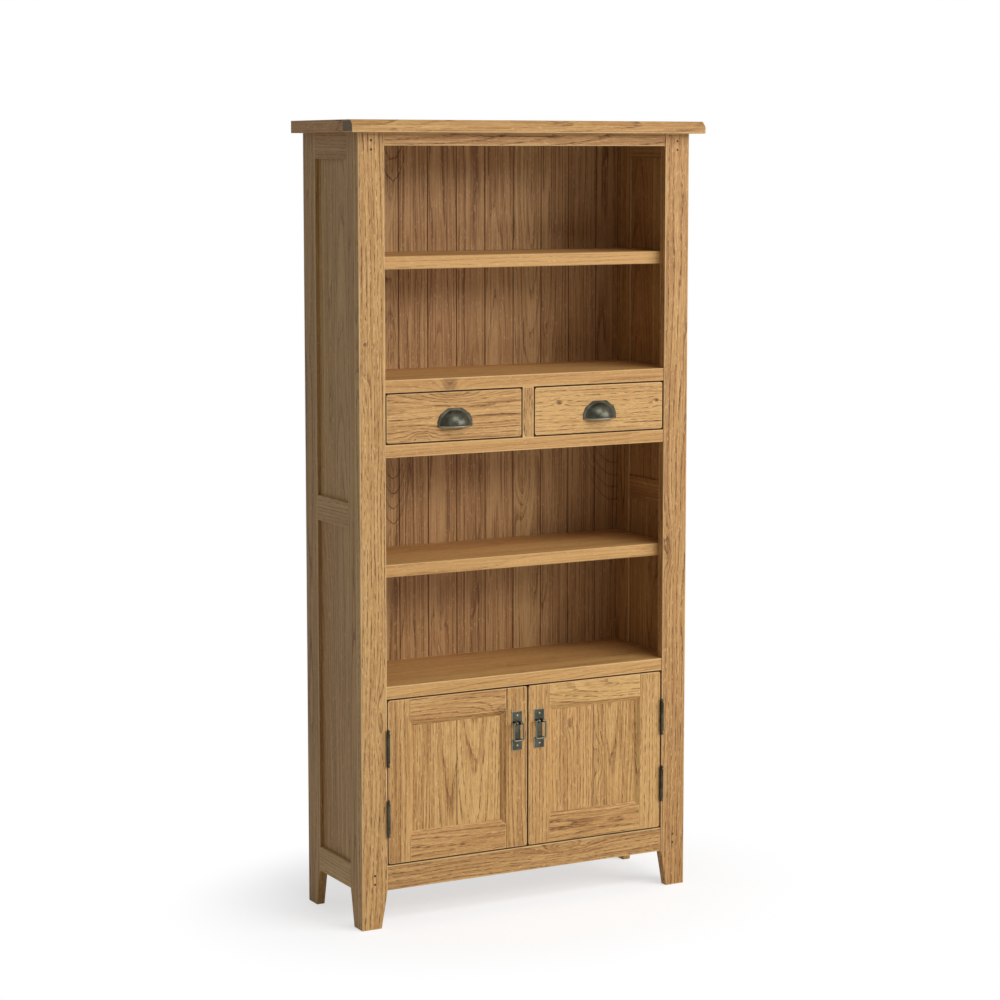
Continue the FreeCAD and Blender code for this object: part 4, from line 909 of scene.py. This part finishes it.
class BOOKCASE_PG_oak(bpy.types.PropertyGroup):
    light: tone_setting("Light oak", "The palest wood", srgb(206, 164, 105))
    middle: tone_setting("Middle oak", "The wood between the rings", srgb(183, 139, 83))
    dark: tone_setting("Dark oak", "The start of each ring", srgb(132, 90, 48))
    pore: tone_setting("Pores", "Open pores, cracks and joints", srgb(92, 56, 28))
    # Colour of the pale edges: wear with a painted highlight.
    wear_and_highlight: tone_setting("Worn edge", "Edges that catch the light", srgb(238, 206, 152))
    end_grain: tone_setting("End grain", "The ends of the boards", srgb(76, 60, 42))
    red: tone_setting("Red oak", "What warms some boards", srgb(176, 118, 74))
    fleck: tone_setting("Fleck", "Pale flecks", srgb(220, 180, 122))
    # Colour of the painted shade with a dusty tint in the gaps.
    painted_shade_and_dust: tone_setting("Dust", "What darkens the edges in a gap", srgb(84, 22, 14))
    peg_tint: tone_setting("Peg tint", "What darkens the pegs' ends", (0.46, 0.36, 0.28))
    ring_spacing: length_setting("Ring spacing", "Width of one year's ring", 9)
    ring_warp: length_setting("Ring warp", "How far rings wander", 30)
    ring_waver: length_setting("Ring waver", "How far rings tremble", 5)
    heart_depth: length_setting("Heart depth", "Distance from a board to the heart", 50)
    heart_spread: share_setting("Heart spread", "How far sideways the heart lies, in widths", 2.2, 10)
    heart_tilt: share_setting("Heart tilt", "How far the heart leans along a board", 0.16)
    pore_strength: share_setting("Pore strength", "How dark the pores are", 0.95)
    board_contrast: share_setting("Board contrast", "How boards differ in tone", 0.4)
    board_warmth: share_setting("Board warmth", "How red the reddest board is", 0.3)
    crack_width: length_setting("Crack width", "Half the width of a crack", 1.9)
    joint_width: length_setting("Joint width", "Half the width of a joint's dark line", 2.0)
    end_depth: length_setting("End depth", "How far end grain shows round a board's end", 0.6)
    # Where the painted shade with a dusty tint lies in the gaps round drawers and doors and in their corners.
    shade_and_dust_reach: length_setting("Dust reach", "How close to an edge the dust ends", 1.4)
    shade_and_dust_start: length_setting("Dust start", "How far behind the front the dust starts", 0.2)
    shade_and_dust_full: length_setting("Dust full", "How far behind the front the dust is thickest", 1.6)
    shade_and_dust_end: length_setting("Dust end", "How far behind the front the dust ends", 10)
    shade_and_dust_corner: length_setting("Dust corner", "Radius of a drawer's or door's corners in the dust", 9)
    shade_and_dust_soft: length_setting("Dust soft", "How quickly the dust thickens in a corner", 0.8)
    # Pale edges: wear with a painted highlight along the boards' edges.
    edge_width: length_setting("Edge width", "Width of the worn edges", 3)
    edge_strength: share_setting("Edge strength", "How pale the worn edges are", 0.75)


class BOOKCASE_PG_fittings(bpy.types.PropertyGroup):
    dark_pewter: tone_setting("Dark pewter", "Patina in the hollows", srgb(50, 49, 41))
    green_pewter: tone_setting("Green pewter", "Patina elsewhere", srgb(76, 75, 63))
    # Bright metal from rubbing, used also as a painted highlight on the lips, nails and bails, and round the
    # plates' edges.
    wear_and_highlight_pewter: tone_setting("Worn pewter", "Rubbed metal", srgb(176, 172, 150))
    # Width of the plates' bright edge: rubbing with a painted highlight.
    rubbed_and_highlight_rim: length_setting("Rubbed rim", "Width of the bright edge of a handle's plate", 1.6)
    pull_rim: length_setting("Rim", "Width of the flat rim round a cup pull", 4)
    rim_thick: length_setting("Rim thickness", "Thickness of the flat rim", 2)
    rim_ease: length_setting("Rim bevel", "Bevel on the rim's edge", 0.7)
    pull_wall: length_setting("Wall", "Thickness of a cup pull's shell", 1.6)
    lip_radius: length_setting("Lip", "Radius of the rolled lip", 1.3)
    bail_corner: length_setting("Bail corner", "Radius of the bail's bends", 4)
    ear_inner: length_setting("Ear", "Distance from the plate's middle to an ear", 3.5)
    plate_thick: length_setting("Plate", "Thickness of a handle's plate", 2)
    nail_radius: length_setting("Nail radius", "Radius of a nail's head", 3.2)
    nail_rise: length_setting("Nail rise", "Height of a nail's head", 2.2)
    nail_top: length_setting("Upper nail", "Distance from the plate's top to its nail", 10.6)
    nail_bottom: length_setting("Lower nail", "Distance from the plate's bottom to its nail", 12)
    hinge_ball: length_setting("Hinge ball", "Radius of the ball on a hinge's pin", 4)
    hinge_neck: length_setting("Hinge neck", "Length of the neck under the ball", 1.5)
    hinge_shaft: length_setting("Hinge shaft", "Radius of the pin inside its barrel", 1.8)
    hinge_pin: length_setting("Hinge pin", "Length of a pin with its balls", 91)


class BOOKCASE_PG_stage(bpy.types.PropertyGroup):
    floor: tone_setting("Floor", "Colour of the floor", (0.8, 0.8, 0.8))
    floor_glow: share_setting("Floor glow", "Share of the glow that the camera sees in the floor", 0.36)
    shadow_width: length_setting("Shadow width", "How far to the sides the floor keeps the shadow", 900)
    shadow_depth: length_setting("Shadow depth", "How far to front and back the floor keeps the shadow", 700)
    floor_lit: share_setting("Lit floor", "How bright the floor's lit parts are without the glow", 0.60)
    ambient: share_setting("Ambient", "Light from all round", 0.25, 10)
    ambient_tint: tone_setting("Ambient tint", "Colour of the light from all round", (0.93, 0.97, 1.0))
    key: power_setting("Key light", "Light from the front right", 460)
    sky: power_setting("Overhead light", "Light from the front and above", 220)
    fill: power_setting("Fill light", "Low light from the front", 12)
    lens: bpy.props.FloatProperty(name="Lens", description="Focal length of the camera in millimetres",
                                  default=95.1, min=1)


# Stage

# How far the floor reaches in metres, and between which shares of the shadow's ellipse its glow grows.
FLOOR_REACH = 30.0
GLOW_STEP = (0.5, 1.0)


class Lamp(NamedTuple):
    """A soft lamp: its place, the point that it faces, and its width and height."""
    place: tuple
    target: tuple
    size: tuple


LAMPS = {
    "key": Lamp((5.4, -6.2, 4.1), (0, 0, 0.9), (6.0, 2.4)),
    "sky": Lamp((1.0, -6.5, 8.0), (0, 0, 1.0), (4.0, 2.4)),
    "fill": Lamp((1.0, -4.0, 0.6), (0, 0, 0.3), (2.4, 0.8)),
}

# The camera's place in metres, how many degrees it looks down and turns to the right, and its shift.
CAMERA_PLACE = (-3.0399, -5.6229, 1.8167)
CAMERA_DOWN = 6.57
CAMERA_TURN = 28.38
CAMERA_SHIFT = -0.04


def add_object(name, data):
    added = bpy.data.objects.new(name, data)
    bpy.context.scene.collection.objects.link(added)
    return added


def floor_material(settings):
    """A pale floor that keeps the shadow.

    The camera and reflections see the floor mixed with a glow as bright as its lit parts, and a lift that
    brings these up to white. The glow's share grows over an ellipse round the object, to plain white.
    """
    material = bpy.data.materials.new("floor")
    tree = Tree(material)
    x, y, _ = tree.object_place()
    away = (x * x / settings.shadow_width ** 2 + y * y / settings.shadow_depth ** 2) ** 0.5
    glow_share = away.between(*GLOW_STEP) * (1 - settings.floor_glow) + settings.floor_glow
    seen = tree.seen_by("Camera", "Glossy")
    matte = tree.node("ShaderNodeBsdfDiffuse", {}, {"Color": opaque(settings.floor)})
    glow, lift = (tree.node("ShaderNodeEmission", {}, {"Color": WHITE, "Strength": strength})
                  for strength in (settings.floor_lit, 1 - settings.floor_lit))
    ground = tree.node("ShaderNodeMixShader", {}, {0: seen * glow_share, 1: matte, 2: glow})
    seen_lift = tree.node("ShaderNodeMixShader", {}, {0: seen, 2: lift})
    tree.surface(tree.node("ShaderNodeAddShader", {}, {0: ground, 1: seen_lift}))
    return material


def add_floor(settings):
    mesh = bpy.data.meshes.new("floor")
    corners = [(x * FLOOR_REACH, y * FLOOR_REACH, 0) for x, y in ((-1, -1), (1, -1), (1, 1), (-1, 1))]
    mesh.from_pydata(corners, [], [(0, 1, 2, 3)])
    floor = add_object("floor", mesh)
    wear(floor, floor_material(settings))


def add_world(settings):
    """Soft light from all round, and white where the camera or a reflection looks past the object."""
    world = bpy.data.worlds.new("studio")
    bpy.context.scene.world = world
    tree = Tree(world)
    soft, white = (tree.node("ShaderNodeBackground", {}, {"Color": colour, "Strength": strength})
                   for colour, strength in ((opaque(settings.ambient_tint), settings.ambient), (WHITE, 1.0)))
    seen = tree.seen_by("Camera", "Glossy", "Transmission")
    tree.surface(tree.node("ShaderNodeMixShader", {}, {0: seen, 1: soft, 2: white}), "ShaderNodeOutputWorld")


def add_light(name, lamp, power):
    light = bpy.data.lights.new(name, "AREA")
    light.shape = "RECTANGLE"
    light.size, light.size_y = lamp.size
    light.energy = power
    added = add_object(name, light)
    added.location = lamp.place
    toward = np.subtract(lamp.target, lamp.place)
    added.rotation_euler = (math.atan2(math.hypot(toward[0], toward[1]), -toward[2]), 0,
                            math.atan2(-toward[0], toward[1]))


def add_camera(settings):
    """The photo's viewpoint: to the left of the case, a little below its top."""
    camera = bpy.data.cameras.new("photo_view")
    camera.lens = settings.lens
    camera.shift_y = CAMERA_SHIFT
    eye = add_object("photo_view", camera)
    eye.location = CAMERA_PLACE
    eye.rotation_euler = (math.radians(90 - CAMERA_DOWN), 0, math.radians(-CAMERA_TURN))
    bpy.context.scene.camera = eye


# Operators

def dress_boards(scene, *slots):
    """Give each board of these groups its own piece of waxed oak."""
    for slot in slots:
        for node in OAK_NODES[slot]:
            wear(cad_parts[node], oak_material(node, slot, scene.bookcase_oak))


class BookcaseOperator:
    bl_options = {"REGISTER", "UNDO"}


class BOOKCASE_OT_stage(BookcaseOperator, bpy.types.Operator):
    """Add the floor, the soft studio light and the camera"""
    bl_idname = "bookcase.stage"
    bl_label = "Stage"

    def execute(self, context):
        settings = context.scene.bookcase_stage
        context.scene.view_settings.view_transform = "Standard"
        add_floor(settings)
        add_world(settings)
        for name, lamp in LAMPS.items():
            add_light(name, lamp, getattr(settings, name))
        add_camera(settings)
        return {"FINISHED"}


class BOOKCASE_OT_case(BookcaseOperator, bpy.types.Operator):
    """Give the boards of the top, the front frame, the sides and the back their oak"""
    bl_idname = "bookcase.case"
    bl_label = "Case"

    def execute(self, context):
        dress_boards(context.scene, "oak_top", "oak_frame", "oak_side", "oak_back")
        return {"FINISHED"}


class BOOKCASE_OT_shelves(BookcaseOperator, bpy.types.Operator):
    """Give the fixed boards, the loose shelves and the cupboard's floor their oak"""
    bl_idname = "bookcase.shelves"
    bl_label = "Shelves"

    def execute(self, context):
        dress_boards(context.scene, "oak_shelf")
        return {"FINISHED"}


class BOOKCASE_OT_drawer_boxes(BookcaseOperator, bpy.types.Operator):
    """Give the drawers' sides, backs and bottoms and the strips that guide them their oak"""
    bl_idname = "bookcase.drawer_boxes"
    bl_label = "Drawer boxes"

    def execute(self, context):
        dress_boards(context.scene, "oak_inner")
        return {"FINISHED"}


class BOOKCASE_OT_fronts(BookcaseOperator, bpy.types.Operator):
    """Give the drawers' fronts and the doors their oak"""
    bl_idname = "bookcase.fronts"
    bl_label = "Drawer fronts and doors"

    def execute(self, context):
        dress_boards(context.scene, "oak_front")
        return {"FINISHED"}


class BOOKCASE_OT_pulls(BookcaseOperator, bpy.types.Operator):
    """Build the cup pulls, each a hollow shell with a flange and a rolled lip"""
    bl_idname = "bookcase.pulls"
    bl_label = "Cup pulls"

    def execute(self, context):
        settings = context.scene.bookcase_fittings
        aged, rubbed_and_highlight = (shared_pewter(name, settings) for name in ("patina_pewter", "rubbed_pewter"))
        for side in SIDES:
            low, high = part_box(f"{side}_cup_pull")
            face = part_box(f"{side}_drawer_front")[0].y
            outer, inner = (pull_shell(low, high, face, settings, thickness)
                            for thickness in (0.0, settings.pull_wall))
            band = np.stack([outer[0], inner[0]])
            grids = [outer, inner, band, pull_flange(low, high, face, settings)]
            lip = pull_lip(outer[0], settings)
            surface(f"{side}_pull", grids, f"{side}_drawer", aged, [f"{side}_cup_pull"])
            # The lip wears bright pewter: rubbing with a painted highlight along it.
            surface(f"{side}_pull_lip", [lip], f"{side}_drawer", rubbed_and_highlight)
        return {"FINISHED"}


class BOOKCASE_OT_bails(BookcaseOperator, bpy.types.Operator):
    """Build the hanging bails of the door handles"""
    bl_idname = "bookcase.bails"
    bl_label = "Bails"

    def execute(self, context):
        settings = context.scene.bookcase_fittings
        # The bail's pewter is partly brightened: rubbing with a painted highlight.
        pewter = shared_pewter("bail_pewter", settings)
        for side in SIDES:
            bar = bail_bar(*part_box(f"{side}_bail"), settings)
            surface(f"{side}_bail_bar", [bar], f"{side}_bail", pewter, [f"{side}_bail"])
        return {"FINISHED"}


class BOOKCASE_OT_plates(BookcaseOperator, bpy.types.Operator):
    """Build the dome nails of the handle plates, and give the plates their pewter"""
    bl_idname = "bookcase.plates"
    bl_label = "Handle plates"

    def execute(self, context):
        settings = context.scene.bookcase_fittings
        rubbed_and_highlight = shared_pewter("rubbed_pewter", settings)
        for side in SIDES:
            node = f"{side}_handle_plate"
            low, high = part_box(node)
            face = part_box(f"{side}_door_lock_stile")[0].y - settings.plate_thick
            heads = [nail_head(settings) + ((low.x + high.x) / 2, face, level)
                     for level in (high.z - settings.nail_top, low.z + settings.nail_bottom)]
            # The nails wear bright pewter: rubbing with a painted highlight.
            surface(f"{side}_plate_nails", heads, f"{side}_door", rubbed_and_highlight)
            # The plate's outline is brightened: rubbing with a painted highlight.
            wear(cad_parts[node], pewter_material(f"pewter_{node}", settings, PLATE_RUBBED, node))
        return {"FINISHED"}


class BOOKCASE_OT_hinges(BookcaseOperator, bpy.types.Operator):
    """Build the pins of the hinges, and give the leaves their pewter"""
    bl_idname = "bookcase.hinges"
    bl_label = "Hinges"

    def execute(self, context):
        settings = context.scene.bookcase_fittings
        pewter = shared_pewter("patina_pewter", settings)
        low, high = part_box("hinge_pins")
        pin = turned(pin_profile(settings), "z", PIN_SIDES)
        pins = [pin + (sign * (high.x - settings.hinge_ball), (low.y + high.y) / 2, level)
                for sign in SIDES.values() for level in (low.z, high.z - settings.hinge_pin)]
        surface("hinge_pins_turned", pins, "case", pewter, ["hinge_pins"])
        for node in ("hinge_frame_leaves", "left_door_hinge_leaves", "right_door_hinge_leaves"):
            wear(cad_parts[node], pewter)
        return {"FINISHED"}


class BOOKCASE_OT_small_fittings(BookcaseOperator, bpy.types.Operator):
    """Give the shelf pins, the doors' strike plates and the catches their steel and plastic"""
    bl_idname = "bookcase.small_fittings"
    bl_label = "Shelf pins and catches"

    def execute(self, context):
        steel = plain_material("steel")
        for node in ("shelf_pins", "left_door_strike", "right_door_strike"):
            wear(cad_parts[node], steel)
        wear(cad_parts["door_catches"], plain_material("catch_plastic"))
        return {"FINISHED"}


class BOOKCASE_PT_panel(bpy.types.Panel):
    bl_idname = "BOOKCASE_PT_panel"
    bl_label = "Bookcase"
    bl_space_type = "VIEW_3D"
    bl_region_type = "UI"
    bl_category = "Bookcase"

    def draw(self, context):
        for operator in OPERATORS:
            self.layout.operator(operator.bl_idname)
        for name in SETTINGS:
            group = getattr(context.scene, name)
            for prop in group.bl_rna.properties:
                if prop.is_runtime:
                    self.layout.prop(group, prop.identifier)


SETTINGS = {"bookcase_oak": BOOKCASE_PG_oak, "bookcase_fittings": BOOKCASE_PG_fittings,
            "bookcase_stage": BOOKCASE_PG_stage}
OPERATORS = (BOOKCASE_OT_stage, BOOKCASE_OT_case, BOOKCASE_OT_shelves, BOOKCASE_OT_drawer_boxes,
             BOOKCASE_OT_fronts, BOOKCASE_OT_pulls, BOOKCASE_OT_bails, BOOKCASE_OT_plates,
             BOOKCASE_OT_hinges, BOOKCASE_OT_small_fittings)


def register():
    for item in (*SETTINGS.values(), *OPERATORS, BOOKCASE_PT_panel):
        bpy.utils.register_class(item)
    for name, group in SETTINGS.items():
        setattr(bpy.types.Scene, name, bpy.props.PointerProperty(type=group))


def unregister():
    for name in SETTINGS:
        delattr(bpy.types.Scene, name)
    for item in reversed((*SETTINGS.values(), *OPERATORS, BOOKCASE_PT_panel)):
        bpy.utils.unregister_class(item)


def main():
    register()
    bpy.ops.bookcase.stage()
    bpy.ops.bookcase.case()
    bpy.ops.bookcase.shelves()
    bpy.ops.bookcase.drawer_boxes()
    bpy.ops.bookcase.fronts()
    bpy.ops.bookcase.pulls()
    bpy.ops.bookcase.bails()
    bpy.ops.bookcase.plates()
    bpy.ops.bookcase.hinges()
    bpy.ops.bookcase.small_fittings()


if __name__ == "__main__":
    main()
